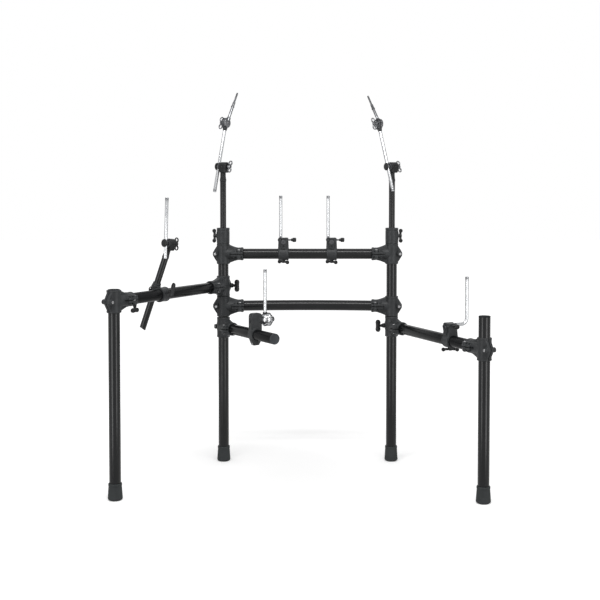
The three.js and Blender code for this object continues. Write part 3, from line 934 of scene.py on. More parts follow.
@dataclass(frozen=True)
class FloorPaint:
    """Plain pale floor that stays white and keeps the rack's shadow."""

    colour: Point = (0.86, 0.86, 0.86)
    shade: float = 0.985
    own_light: tuple[float, float] = (0.22, 0.8)
    spread: tuple[float, float] = (0.1, 1.5)

    def build(self) -> Material:
        """Makes the material.

        Returns:
            The material.
        """
        maker = ShaderMaker("studio_floor")
        colour = maker.blend(maker.noise(0.4, 2), self.colour, tuple(c * self.shade for c in self.colour))
        path = maker.add("ShaderNodeLightPath").outputs
        seen = maker.math("MAXIMUM", path["Is Camera Ray"], path["Is Glossy Ray"])
        far = maker.add("ShaderNodeVectorMath", {"operation": "LENGTH"}, Vector=maker.place)
        glow = maker.spread(far.outputs["Value"], *self.own_light, *self.spread)
        maker.dress(Base_Color=colour, Emission_Color=colour, Roughness=0.8, Specular_IOR_Level=0.1,
                    Emission_Strength=maker.math("MULTIPLY", seen, glow))
        return maker.material


def made_by(recipe: PowderCoat | CastNylon | Rubber | Metal) -> Material:
    """Field of Finishes that holds the material of a recipe."""
    return field(default_factory=recipe.build)


@dataclass
class Finishes:
    """Every finish of the rack, made once."""

    powder: Material = made_by(PowderCoat())
    # The same powder coat with weaker gloss, so that the side arms and the snare arm render darker than the
    # posts: painted shade for the dark surroundings they mirror.
    arm_coat: Material = made_by(PowderCoat("powder_coat_arms", gloss=0.1))
    nylon: Material = made_by(CastNylon())
    plug: Material = made_by(CastNylon("end_plug", (0.032, 0.036, 0.04), (0.045, 0.05, 0.055),
                                       (0.07, 0.075, 0.08), 0.0014, 0.00008))
    cap: Material = made_by(CastNylon("leg_cap", rough=(0.7, 0.85), gloss=0.0))
    satin: Material = made_by(CastNylon("hand_bolt_black", (0.010, 0.0105, 0.011), (0.015, 0.0156, 0.0165),
                                        (0.03, 0.031, 0.032), 0.0012, 0.00003, (0.3, 0.42)))
    rubber: Material = made_by(Rubber())
    chrome: Material = made_by(Metal("chrome_plate", (0.47, 0.477, 0.485), (0.38, 0.387, 0.398),
                                     (0.2, 0.27), depth=0.000001))
    # Chrome with a base far darker than the rods' chrome, so that wings, tilters, cymbal posts and rod-end
    # bands render dark grey: painted shade for the dark surroundings they mirror.
    cast_chrome: Material = made_by(Metal("chrome_on_castings", (0.2, 0.204, 0.21),
                                          (0.07, 0.072, 0.076), (0.14, 0.24)))
    steel: Material = made_by(Metal("screw_steel", (0.5, 0.5, 0.5), (0.3, 0.3, 0.31), (0.22, 0.4)))
    dark_steel: Material = made_by(Metal("blackened_steel", (0.09, 0.092, 0.096),
                                         (0.045, 0.046, 0.05), (0.28, 0.45)))


# Pieces


class Piece:
    """One named piece of the rack, gathered from parts that each have a finish."""

    def __init__(self, name: str, slot: str, base: Matrix, body: str, *nodes: str) -> None:
        """Starts an empty piece.

        Args:
            name: Name of the object.
            slot: Material slot of the record; it is stored but not used.
            base: Its own frame.
            body: Body that it rides on.
            nodes: CAD nodes that it stands for.
        """
        self.name, self.slot, self.base, self.body, self.nodes = name, slot, base, body, nodes
        self.bm = bmesh.new()
        self.materials: list[Material] = []

    def add(self, finish: Material, mesh: Mesh, place: Matrix = Matrix()) -> None:
        """Adds a part.

        Args:
            finish: Material of the part.
            mesh: The part; it is removed.
            place: Frame of the part inside the piece.
        """
        if finish not in self.materials:
            self.materials.append(finish)
        index, first = self.materials.index(finish), len(self.bm.faces)
        self.bm.from_mesh(moved(mesh, self.base @ place))
        self.bm.faces.ensure_lookup_table()
        for face in self.bm.faces[first:]:
            face.material_index = index
            face.smooth = True
        bpy.data.meshes.remove(mesh)

    def fit(self) -> None:
        """Turns the piece into a fitted object."""
        mesh = bpy.data.meshes.new(self.name)
        self.bm.to_mesh(mesh)
        self.bm.free()
        mesh.transform(Matrix.Scale(MM, 4))
        for finish in self.materials:
            mesh.materials.append(finish)
        made = hung(self.name, mesh)
        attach(made, self.body)
        if self.nodes:
            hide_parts(*self.nodes)
        log.info("%s: %d faces", self.name, len(mesh.polygons))


class Shop:
    """What every sub-assembly is made with: the finishes and the trees."""

    def __init__(self) -> None:
        """Makes the finishes and the trees."""
        self.finish = Finishes()
        self.trees = Trees()

    def ridges(self, count: int, radius: float, ridge: float, length: float, height: float = 0,
               axis: str = "Z", sides: int = 6) -> Mesh:
        """Small ridges round an axis.

        Args:
            count: Number of ridges.
            radius: Distance of their centres from the axis.
            ridge: Radius of one ridge.
            length: Length of one ridge along the axis.
            height: Middle of the ridges along the axis.
            axis: Axis they stand round.
            sides: Sides of one ridge.

        Returns:
            The plain mesh.
        """
        values = {"Count": count, "Radius": radius, "Ridge Radius": ridge, "Ridge Length": length,
                  "Height": height, "Ridge Sides": sides, "Material": self.finish.steel}
        return moved(grown(self.trees.ridges, values), along(axis))

    def thread(self, radius: float, start: float, end: float, axis: str = "Z",
               pitch: float = 1.25) -> Mesh:
        """Screw thread on an axis.

        Args:
            radius: Radius of the thread's middle line.
            start: Where it starts on its axis.
            end: Where it ends.
            axis: Axis it lies along.
            pitch: Length of one turn.

        Returns:
            The plain mesh.
        """
        values = {"Turns": (end - start) / pitch, "Radius": radius, "Height": end - start,
                  "Thickness": pitch * 0.42, "Material": self.finish.steel}
        return moved(moved(grown(self.trees.thread, values), at(0, 0, start)), along(axis))

    def start(self, kind: Kind, node: str, base: Matrix) -> Piece:
        """Empty piece that stands for a CAD node."""
        ending, slot = kind.value
        return Piece(f"{node}_{ending}", slot, base, BODY_OF[node], node)

    def tube(self, node: str, base: Matrix, start: float, end: float, axis: str = "Z",
             coat: Material | None = None) -> Piece:
        """Piece that holds a straight main tube.

        Args:
            node: CAD node that it stands for.
            base: Frame of the tube.
            start: Where it starts on its axis.
            end: Where it ends.
            axis: Axis it lies along.
            coat: Its finish, where it isn't the common one.

        Returns:
            The piece, not yet fitted.
        """
        piece = self.start(Kind.TUBE, node, base)
        piece.add(coat or self.finish.powder, pipe(STOCK.tube, STOCK.wall, start, end, axis))
        return piece


# Stock and small hardware


@dataclass(frozen=True)
class Stock:
    """Round stock of the rack."""

    tube: float = 19.05
    wall: float = 1.8
    slim: float = 11.1
    slim_wall: float = 1.5
    rod: float = 5.8
    bore: float = 19.35


STOCK = Stock()


def rod_end(height: float) -> Mesh:
    """Turned bands on the last stretch of an upright chrome rod that ends at the height."""
    bands = ((0.15, 0.8, -9, -1.7), (0.18, 0.6, -12.2, -10.8))
    return joined([pipe(STOCK.rod + lift, wall, height + low, height + high, sides=SMALL_SIDES, edge=0.2)
                   for lift, wall, low, high in bands])


@dataclass(frozen=True)
class EndPlug:
    """Plastic plug in an open tube end, its face at height zero and its body below."""

    thickness: float = 3.2
    rim: float = 2.4
    slope: float = 1.2
    sink: float = 0.9

    def mesh(self) -> Mesh:
        """Makes the plug.

        Returns:
            The mesh.
        """
        outer, inner = STOCK.tube, STOCK.tube - self.rim
        profile = [(0, -self.thickness), (outer, -self.thickness), (outer, 0), (inner, 0),
                   (inner - self.slope, -self.sink), (0, -self.sink)]
        return lathe(softened(profile, 0.7), TUBE_SIDES)


@dataclass(frozen=True)
class KeyScrew:
    """Socket-head screw and the nut on its far end, each standing on its seat at the origin."""

    head: float = 4.6
    height: float = 3.4
    socket: float = 2.3
    socket_depth: float = 2.2
    root: float = 2
    nut: float = 4.9
    nut_height: float = 1.8
    end: float = 2.5
    end_rise: float = 1.4

    def screw(self) -> Mesh:
        """Makes the screw head.

        Returns:
            The mesh.
        """
        low, high = self.height - self.socket_depth, self.height + 1
        key = lathe([(0, low), (self.socket, low), (self.socket, high), (0, high)], 6)
        return cut(pin(self.head, -self.root, self.height, 0.6), [key])

    def nut_end(self) -> Mesh:
        """Makes the nut with the round end of its screw."""
        return joined([hexagon(self.nut, -self.root, self.nut_height, 0.4),
                       pin(self.end, 0, self.nut_height + self.end_rise, 0.5)])


class Seat(NamedTuple):
    """Where a fastener stands and which way it faces."""

    place: Vector
    facing: Vector


class ScrewBoard:
    """Collects the seats of screws and nuts for each body, and sets them all at the end."""

    def __init__(self) -> None:
        """Starts with no seats."""
        self.seats: dict[tuple[Fastener, str], list[Seat]] = {}

    def note(self, kind: Fastener, node: str, base: Matrix, place: Point, facing: Point) -> None:
        """Adds a seat.

        Args:
            kind: What stands on it.
            node: CAD node whose body carries it.
            base: Frame of the seat's part.
            place: Seat in that frame.
            facing: Direction out of the seat in that frame.
        """
        direction = (base.to_3x3() @ Vector(facing)).normalized()
        seats = self.seats.setdefault((kind, BODY_OF[node]), [])
        seats.append(Seat(base @ Vector(place), direction))

    def fit(self, shop: Shop) -> None:
        """Sets a fastener on every seat, one piece for each kind and body.

        Args:
            shop: Shop with the finishes.
        """
        size, steel = KeyScrew(), shop.finish.steel
        templates = {Fastener.SCREW: hung("screw", size.screw()), Fastener.NUT: hung("nut", size.nut_end())}
        for (kind, body), seats in self.seats.items():
            points = bpy.data.meshes.new("seats")
            points.from_pydata([seat.place for seat in seats], [], [])
            facing = points.attributes.new("facing", "FLOAT_VECTOR", "POINT")
            for item, seat in zip(facing.data, seats):
                item.vector = seat.facing
            values = {"Fastener": templates[kind], "Material": steel}
            piece = Piece(f"clamp_{kind.value}s_{body}", "bolt_black", Matrix(), body)
            piece.add(steel, resharpened(grown(shop.trees.fasteners, values, points)))
            piece.fit()
        cleared(*templates.values())


@dataclass(frozen=True)
class HandBolt:
    """Bolt or nut turned by hand, its seat at the origin, head along +Z and wings along X."""

    style: WingStyle
    span: float
    depth: float
    thickness: float
    hub: float
    standoff: float
    shank: float = 0
    shank_length: float = 0
    bore: float = 0
    hub_share: float = 0.7

    def hub_mesh(self, end: float) -> Mesh:
        """Round hub with a stepped foot, bored where a stud passes through.

        Args:
            end: Height of its outer end.

        Returns:
            The mesh.
        """
        if self.bore:
            outer = [(self.bore, GAP), (self.hub, GAP), (self.hub, self.standoff + 2),
                     (self.hub * 0.8, end), (self.bore, end)]
            return lathe(softened(outer, 0.8, closed=True), ring=True)
        outer = [(0, GAP), (self.hub, GAP), (self.hub, self.standoff * 0.5),
                 (self.hub * 0.82, self.standoff), (self.hub * 0.82, end), (0, end)]
        return lathe(softened(outer, 1.4))

    def handle(self) -> list[Mesh]:
        """Moulded T-handle: a waisted bar with round ends on a tapering neck.

        Returns:
            The meshes.
        """
        half, low, high = self.span / 2, self.standoff, self.standoff + self.depth
        middle = (low + high) / 2 + self.depth * 0.06
        grip, side = self.depth * 0.36, self.thickness / 2
        corners = [(half * 0.25, middle - grip * 0.9), (half * 0.6, middle - grip * 1.12),
                   (half, middle - grip * 0.62), (half, middle + grip * 0.62),
                   (half * 0.6, middle + grip * 1.12), (half * 0.25, middle + grip * 0.9)]
        corners += [(-x, z) for x, z in reversed(corners)]
        grip_bar = plate(softened(corners, self.depth * 0.3, 5, closed=True), -side, side,
                         self.thickness * 0.3, 3)
        neck = lathe(softened([(0, GAP), (self.hub, GAP), (self.hub * 0.95, low * 0.6),
                               (self.hub * 0.72, low + 3), (self.hub * 0.9, middle), (0, middle)], 2),
                     SMALL_SIDES)
        return [Moulding(0.75, 3, 0.5).skin([grip_bar, neck])]

    def lobes(self) -> list[Mesh]:
        """Moulded wing with a round lobe at each end.

        Returns:
            The meshes.
        """
        top, lobe = self.standoff + self.depth, self.depth * 0.56
        out, width = self.span / 2 - lobe, self.thickness * 0.36
        parts = [self.hub_mesh(self.standoff + self.depth * 0.75)]
        for sign in (-1, 1):
            parts.append(pin(lobe, -self.thickness / 2, self.thickness / 2, 1.6, "Y",
                             (sign * out, 0, top - lobe)))
            arm = [(0, self.standoff), (sign * out, top - lobe * 1.75), (sign * out, top - lobe * 0.45),
                   (0, self.standoff + self.depth * 0.62)]
            parts.append(plate(arm[::sign], -width, width, 0.8))
        return [Moulding(0.7, 3, 0.5).skin(parts)]

    def loops(self) -> list[Mesh]:
        """Hub and an open oval loop on each side of it.

        Returns:
            The meshes.
        """
        wire = self.thickness * 0.33
        wide, high = (self.span / 2 - self.hub) / 2 - wire * 0.2, self.depth / 2 - wire
        turns = round_steps(40)
        parts = [self.hub_mesh(self.standoff + self.depth * self.hub_share)]
        for sign in (-1, 1):
            centre = Vector((sign * (self.span / 2 - wide - wire), 0, self.standoff + self.depth / 2))
            path = [centre + Vector((wide * math.cos(a), 0, high * math.sin(a))) for a in turns]
            radii = [wire * (1.12 - 0.22 * sign * math.cos(a)) for a in turns]
            parts.append(swept(path, radii, 16, closed=True))
        return parts

    def fit(self, shop: Shop, node: str, base: Matrix, turn: float = 0, bright: bool = False) -> None:
        """Fits the bolt in place of its CAD node.

        Args:
            shop: Shop with the finishes.
            node: CAD node that it stands for.
            base: Frame of its seat.
            turn: Turn of the wings about the shank, in degrees.
            bright: Whether it is chromed.
        """
        shape, kind = {WingStyle.T_HANDLE: (self.handle, Kind.HANDLE),
                       WingStyle.LOBED: (self.lobes, Kind.WING),
                       WingStyle.LOOPED: (self.loops, Kind.WING)}[self.style]
        piece = shop.start(Kind.BRIGHT_WING if bright else kind, node, placed(base, degrees=turn))
        skin, steel = shop.finish.cast_chrome if bright else shop.finish.satin, shop.finish.steel
        for mesh in shape():
            piece.add(skin, mesh)
        if self.shank:
            piece.add(steel, pin(self.shank - 0.35, -self.shank_length, self.standoff, 0.6))
            piece.add(steel, shop.thread(self.shank - 0.5, 1 - self.shank_length, 0))
        piece.fit()


# Clamps, feet and sleeves


@dataclass(frozen=True)
class TClamp:
    """Clamp with its collar on Z, its socket along +X, its ear at -X and its bolt pads beside."""

    height: float = 74
    collar: float = 23.45
    socket: float = 23.2
    rim: float = 24.1
    rim_length: float = 9
    back_wall: float = 3.6
    flare_rise: float = 35.6
    flare_waist: tuple[float, float] = (34, 27.5)
    flare_reach: float = 54
    flare_width: float = 27
    ear_offset: float = 29
    ear_radius: float = 8.5
    ear_length: float = 42
    ear_rise: float = 30
    ear_recess: float = 2.4
    ear_bore: float = 4.3
    web_width: float = 22
    slot: float = 3
    pad_inset: float = 16
    pad_height: float = 32
    pad_reach: float = 37
    pad_offset: float = 29.5
    pad_recess: float = 2
    mould: Moulding = Moulding(1.0, 4, 0.42)

    @property
    def tube_start(self) -> float:
        """Distance from the collar's axis at which a tube in the socket starts."""
        return STOCK.tube + self.back_wall + GAP

    def pad_place(self, reach: float) -> float:
        """Distance of the bolt pads from the collar's axis."""
        return reach - self.pad_inset

    def flare(self) -> Mesh:
        """Concave web above and below the socket.

        Returns:
            The mesh.
        """
        start = Vector((STOCK.tube, self.flare_rise))
        end = Vector((self.flare_reach, self.socket - 0.6))
        upper = [(0, self.flare_rise), *curve_between(start, Vector(self.flare_waist), end, 14)]
        outline = [(x, z) for x, z in upper] + [(x, -z) for x, z in reversed(upper)]
        return plate(outline, -self.flare_width / 2, self.flare_width / 2, 5, 3)

    def ear(self) -> list[Mesh]:
        """Bolted ear: a boss across the split on a diamond web.

        Returns:
            The meshes.
        """
        tip = Vector((-self.ear_offset - self.ear_radius - 0.6, 4.5))
        upper = curve_between(Vector((1 - self.collar, self.ear_rise)), Vector((-self.ear_offset - 3, 16.5)),
                              tip, 8)
        outline = [(-self.ear_radius, self.ear_rise), *[(x, z) for x, z in upper]]
        outline += [(x, -z) for x, z in reversed(outline)]
        return [plate(outline, -self.web_width / 2, self.web_width / 2, 2.5),
                bar(self.ear_radius, -self.ear_length / 2, self.ear_length / 2, 1.5, "Y",
                    place=(-self.ear_offset, 0, 0))]

    def pads(self, reach: float) -> list[Mesh]:
        """Bolt pads beside the socket, with the ribs that stiffen them.

        Args:
            reach: Length of the socket from the collar's axis.

        Returns:
            The meshes.
        """
        place, inner, half = self.pad_place(reach), STOCK.tube, self.pad_height / 2
        parts = [brick((place - 30, inner - 2, -8.5), (reach - 2, self.pad_reach - 3.5, 8.5), 2),
                 brick((place - 8, inner - 6, -half), (place + 8, self.pad_reach - 7, half), 2),
                 pin(7.5, -half, half, 1.2, place=(place, self.pad_offset, 0))]
        for rib in (place - 18, place + 12.5):
            parts.append(brick((rib - 2.2, inner - 8, -15), (rib + 2.2, self.pad_reach - 6, 15), 1.2))
        return parts

    def body(self, reach: float) -> Mesh:
        """Moulded body before its bores are cut, with the pads on the +Y side.

        Args:
            reach: Length of the socket from the collar's axis.

        Returns:
            The mesh.
        """
        half, band = self.height / 2, self.height / 2 - 3.2
        collar = [(0, -half), (self.collar, -half), (self.collar, half), (0, half)]
        socket = [(0, 0), (self.socket, 0), (self.socket, reach - self.rim_length),
                  (self.rim, reach - self.rim_length + 1), (self.rim, reach), (0, reach)]
        parts = [lathe(softened(collar, 1.4), TUBE_SIDES),
                 lathe(softened(socket, 1.2), TUBE_SIDES, axis="X"),
                 self.flare(),
                 pipe(self.socket + 1.1, 3, 0, 3.4, "X", place=(reach - 26, 0, 0)),
                 *[pipe(self.collar + 0.7, 3, -2, 2, place=(0, 0, z)) for z in (-band, band)],
                 *self.ear(), *self.pads(reach)]
        return self.mould.skin(parts)

    def cuts(self, reach: float, pad_side: int, ear_bolt: bool) -> list[Mesh]:
        """Bores, splits and screw recesses.

        Args:
            reach: Length of the socket from the collar's axis.
            pad_side: Side of the pads along Y.
            ear_bolt: Whether a hand bolt goes right through the ear.

        Returns:
            The solids to take away.
        """
        half, slot, past = self.height / 2 + OVERRUN, self.slot / 2, reach + OVERRUN
        wall, ear_end, pad_end = STOCK.tube + self.back_wall, self.ear_length / 2, self.pad_height / 2
        pad_y = sorted((0, pad_side * (self.pad_reach + OVERRUN)))
        ear, pad = at(-self.ear_offset), at(self.pad_place(reach), pad_side * self.pad_offset)
        made = [bore(STOCK.bore, -half, half), bore(STOCK.bore, wall, past, "X"),
                brick((-self.ear_offset - 12, -slot, -half), (-self.ear_radius, slot, half)),
                brick((wall + self.slot, pad_y[0], -slot), (past, pad_y[1], slot))]
        if ear_bolt:
            made.append(moved(pin(self.ear_bore, -ear_end - OVERRUN, ear_end + OVERRUN, axis="Y"), ear))
        else:
            made += [moved(pin(5.6, ear_end - self.ear_recess, ear_end + OVERRUN, axis="Y"),
                           ear @ spin("Z", turn)) for turn in (180, 0)]
        made += [moved(pin(5.4, pad_end - self.pad_recess, pad_end + OVERRUN), pad @ spin("X", turn))
                 for turn in (180, 0)]
        return made


class ClampMaker:
    """Makes T-clamps from one moulded body for each reach."""

    def __init__(self, shop: Shop, board: ScrewBoard) -> None:
        """Keeps the shop and the screw board.

        Args:
            shop: Shop with the finishes.
            board: Board that collects the screws.
        """
        self.shop = shop
        self.board = board
        self.size = TClamp()
        self.bodies: dict[float, Mesh] = {}

    def fit(self, node: str, base: Matrix, reach: float, pad_side: int, ear_bolt: bool = False,
            pad_screw: bool = True) -> None:
        """Fits a clamp in place of its CAD node and notes its screws.

        Args:
            node: CAD node that it stands for.
            base: Frame of the clamp.
            reach: Length of its socket from the collar's axis.
            pad_side: Side of its bolt pads along Y.
            ear_bolt: Whether a hand bolt goes through its ear.
            pad_screw: Whether its pads carry a key screw.
        """
        size = self.size
        if reach not in self.bodies:
            self.bodies[reach] = size.body(reach)
        body = moved(self.bodies[reach].copy(), Matrix.Diagonal((1, pad_side, 1, 1)))
        piece = self.shop.start(Kind.MOULDING, node, base)
        piece.add(self.shop.finish.nylon, cut(body, size.cuts(reach, pad_side, ear_bolt)))
        piece.fit()
        ear_end, pad_end = size.ear_length / 2 - size.ear_recess, size.pad_height / 2 - size.pad_recess
        for kind, sign in ((Fastener.SCREW, 1), (Fastener.NUT, -1)):
            if not ear_bolt:
                side = sign * pad_side
                self.board.note(kind, node, base, (-size.ear_offset, side * ear_end, 0), (0, side, 0))
            if pad_screw:
                place = (size.pad_place(reach), pad_side * size.pad_offset, sign * pad_end)
                self.board.note(kind, node, base, place, (0, 0, sign))


@dataclass(frozen=True)
class Foot:
    """Rubber foot standing on its own floor level."""

    height: float = 56
    top: float = 21.5
    bottom: float = 24.5
    floor: float = 12

    def fit(self, shop: Shop, node: str, base: Matrix) -> None:
        """Fits the foot in place of its CAD node.

        Args:
            shop: Shop with the finishes.
            node: CAD node.
            base: Frame at the floor.
        """
        tread = [(0, 1.6), (5, 1.6), (6, 0), (9, 0), (10, 1.6), (13, 1.6), (14, 0)]
        lip = self.top + 0.9
        skin = [(14, 0), (19.5, 0), (self.bottom, 5), (self.bottom - 0.5, 13), (self.top + 0.2, 47),
                (lip, 48.5), (lip, self.height - 1.5), (self.top - 0.2, self.height),
                (STOCK.bore, self.height), (STOCK.bore, self.floor), (0, self.floor)]
        piece = shop.start(Kind.RUBBER, node, base)
        piece.add(shop.finish.rubber, lathe(tread + softened(skin, 2.2, 4)[1:], TUBE_SIDES))
        piece.fit()


@dataclass(frozen=True)
class Sleeve:
    """Sleeve on a post top that guides the slim riser, with its bolt boss along +X."""

    bottom: float = 803
    height: float = 58
    radius: float = 23.5
    cap: float = 11
    boss: float = 8
    reach: float = 26
    bolt_bore: float = 3.8
    mould: Moulding = Moulding(0.9, 2, 0.42)

    @property
    def seat(self) -> float:
        """Height above the sleeve's bottom at which the post's top stops."""
        return self.height - self.cap

    def fit(self, shop: Shop, side: Side, post: Matrix) -> None:
        """Fits the sleeve and its hand bolt.

        Args:
            shop: Shop with the finishes.
            side: Post that it sits on.
            post: Frame of the post.
        """
        base = placed(post, (0, 0, self.bottom), "Z", 0 if side is Side.RIGHT else 180)
        half, groove, past = self.height / 2, self.radius - 0.9, self.height + OVERRUN
        outer = [(0, 0), (self.radius, 0), (self.radius, self.seat - 1), (groove, self.seat),
                 (groove, self.seat + 1.2), (self.radius, self.seat + 2.2), (self.radius, self.height),
                 (0, self.height)]
        body = self.mould.skin([
            lathe(softened(outer, 0.7), TUBE_SIDES),
            pin(self.boss, 10, self.reach, 1.2, "X", (0, 0, half)),
            brick((12, -5, half - 14), (self.radius + 1.2, 5, half + 14), 1.5)])
        piece = shop.start(Kind.MOULDING, f"sleeve_{side.label}", base)
        piece.add(shop.finish.nylon, cut(body, [
            bore(STOCK.bore, -OVERRUN, self.seat),
            bore(STOCK.slim + GAP, 0, past),
            pin(self.bolt_bore, 0, self.reach + OVERRUN, axis="X", place=(0, 0, half))]))
        piece.fit()
        bolt = HandBolt(WingStyle.LOBED, 51, 13, 8, 6, 1, 3.5, self.reach - STOCK.tube - GAP)
        bolt.fit(shop, f"sleeve_bolt_{side.label}", placed(base, (self.reach, 0, half), "Y", 90))


# Knuckles and rods


@dataclass(frozen=True)
class Knuckle:
    """Knuckle on a slim tube: a head on the tube and a turning half that holds a rod."""

    radius: float = 16.5
    near: float = 10
    far: float = 20
    neck: float = 10
    neck_length: float = 55
    stud: float = 4
    rod_offset: float = 19
    cap: float = 14
    cap_width: float = 6.5
    core: float = 9
    outer: float = 30
    plate: float = 16
    plate_width: float = 5
    teeth: int = 44
    stud_end: float = 31
    mould: Moulding = Moulding(0.8, 3, 0.5)

    def slim_tube(self, length: float, slant: float) -> Mesh:
        """Slim tube below the head, its lower end cut at a slant in degrees.

        Args:
            length: How far it reaches down.
            slant: Slant of its end in degrees.

        Returns:
            The mesh.
        """
        tube = pipe(STOCK.slim, STOCK.slim_wall, -length, 3 - self.neck_length, sides=FITTING_SIDES)
        if not slant:
            return tube
        corner = at(0, 0, STOCK.slim * math.tan(math.radians(slant)) - length)
        beyond = moved(brick((-30, -30, -60), (30, 30, 0)), placed(corner, axis="Y", degrees=slant))
        return cut(tube, [beyond])

    def head(self) -> Mesh:
        """Moulded head with its neck, bored for the stud and dented at the front and back.

        Returns:
            The mesh.
        """
        radius, low = self.radius, -self.neck_length
        throat = STOCK.slim + 0.9
        neck = [(0, low), (throat, low), (throat, low + 7), (self.neck + 0.3, low + 16),
                (self.neck, -radius - 5), (self.neck + 2.5, 5 - radius), (0, -4)]
        body = self.mould.skin([
            lathe(softened(neck, 3)),
            bar(radius, -self.near, self.far, 3.2, "X"),
            brick((1 - self.near, 2.5 - radius, -radius - 6), (self.far - 1, radius - 2.5, 0), 5),
            bar(radius - 5, self.far - 2, self.far, 0.6, "X")])
        tools = [pin(self.stud + GAP, -self.near - OVERRUN, self.far + OVERRUN, axis="X")]
        for sign in (-1, 1):
            dent = lathe([(0, -3.2), (2.2, -2.6), (3.8, -1.2), (4.2, 1), (0, 1)], SMALL_SIDES, axis="Y")
            tools.append(moved(dent, at((self.far - self.near) / 2, sign * (radius - 0.2), 1)
                               @ Matrix.Diagonal((1.5, sign, 1.5, 1))))
        return cut(body, tools)

    def fixed_half(self, shop: Shop, node: str, base: Matrix, length: float, slant: float = 0) -> None:
        """Fits the slim tube with its head at the origin.

        Args:
            shop: Shop with the finishes.
            node: CAD node that it stands for.
            base: Frame of the head.
            length: Length of the tube below the head's axis.
            slant: Slant of the tube's lower end in degrees.
        """
        piece = shop.start(Kind.TUBE, node, base)
        piece.add(shop.finish.powder, self.slim_tube(length, slant))
        piece.add(shop.finish.satin, self.head())
        piece.fit()

    def turning_half(self, shop: Shop, piece: Piece, rod_hole: bool) -> None:
        """Adds the cap, the rod's holder, the toothed plate and the stud.

        Args:
            shop: Shop with the finishes.
            piece: Piece to add to.
            rod_hole: Whether the rod is another piece that slides through.
        """
        look = shop.finish
        start = -self.near - GAP - self.plate_width
        end, edge, inner = start + self.plate_width, self.plate - 1.2, self.cap_width - self.outer
        cap = [(0, -self.outer), (self.cap - 3.5, -self.outer), (self.cap, 2.8 - self.outer),
               (self.cap, inner), (0, inner)]
        holder = [(0, inner - 0.5), (self.core - 2, inner - 0.5), (self.core, -self.rod_offset - 2.5),
                  (self.core, 2 - self.rod_offset), (self.core - 2.5, start + 0.5), (0, start + 0.5)]
        toothed = [(0, start), (edge, start), (edge, end), (0, end)]
        teeth = shop.ridges(self.teeth, self.plate - 1.4, 0.8, self.plate_width - 1,
                            start + self.plate_width / 2, "X", 5)
        for finish, mesh in (
                (look.satin, lathe(softened(cap, 2.2, 4), axis="X")),
                (look.chrome, lathe(softened(holder, 1.5, 4), axis="X")),
                (look.dark_steel, lathe(softened(toothed, 0.5), axis="X")),
                (look.dark_steel, resharpened(teeth)),
                (look.chrome, pin(self.stud - 0.4, start + 1, self.stud_end, 0.7, "X"))):
            if rod_hole:
                mesh = cut(mesh, [bar(STOCK.rod + GAP, -24, 24, 0, place=(-self.rod_offset, 0, 0))])
            piece.add(finish, mesh)
        piece.add(look.chrome, shop.thread(self.stud - 0.55, self.far + 1, self.stud_end - 1, "X"))

    def fit_nut(self, shop: Shop, node: str, lean: Matrix, bright: bool) -> None:
        """Fits the winged nut on the stud."""
        nut = HandBolt(WingStyle.LOOPED, 46, 17, 7, 7.5, 2, bore=4.3)
        nut.fit(shop, node, placed(lean, (self.far, 0, 0), "Y", 90), bright=bright)


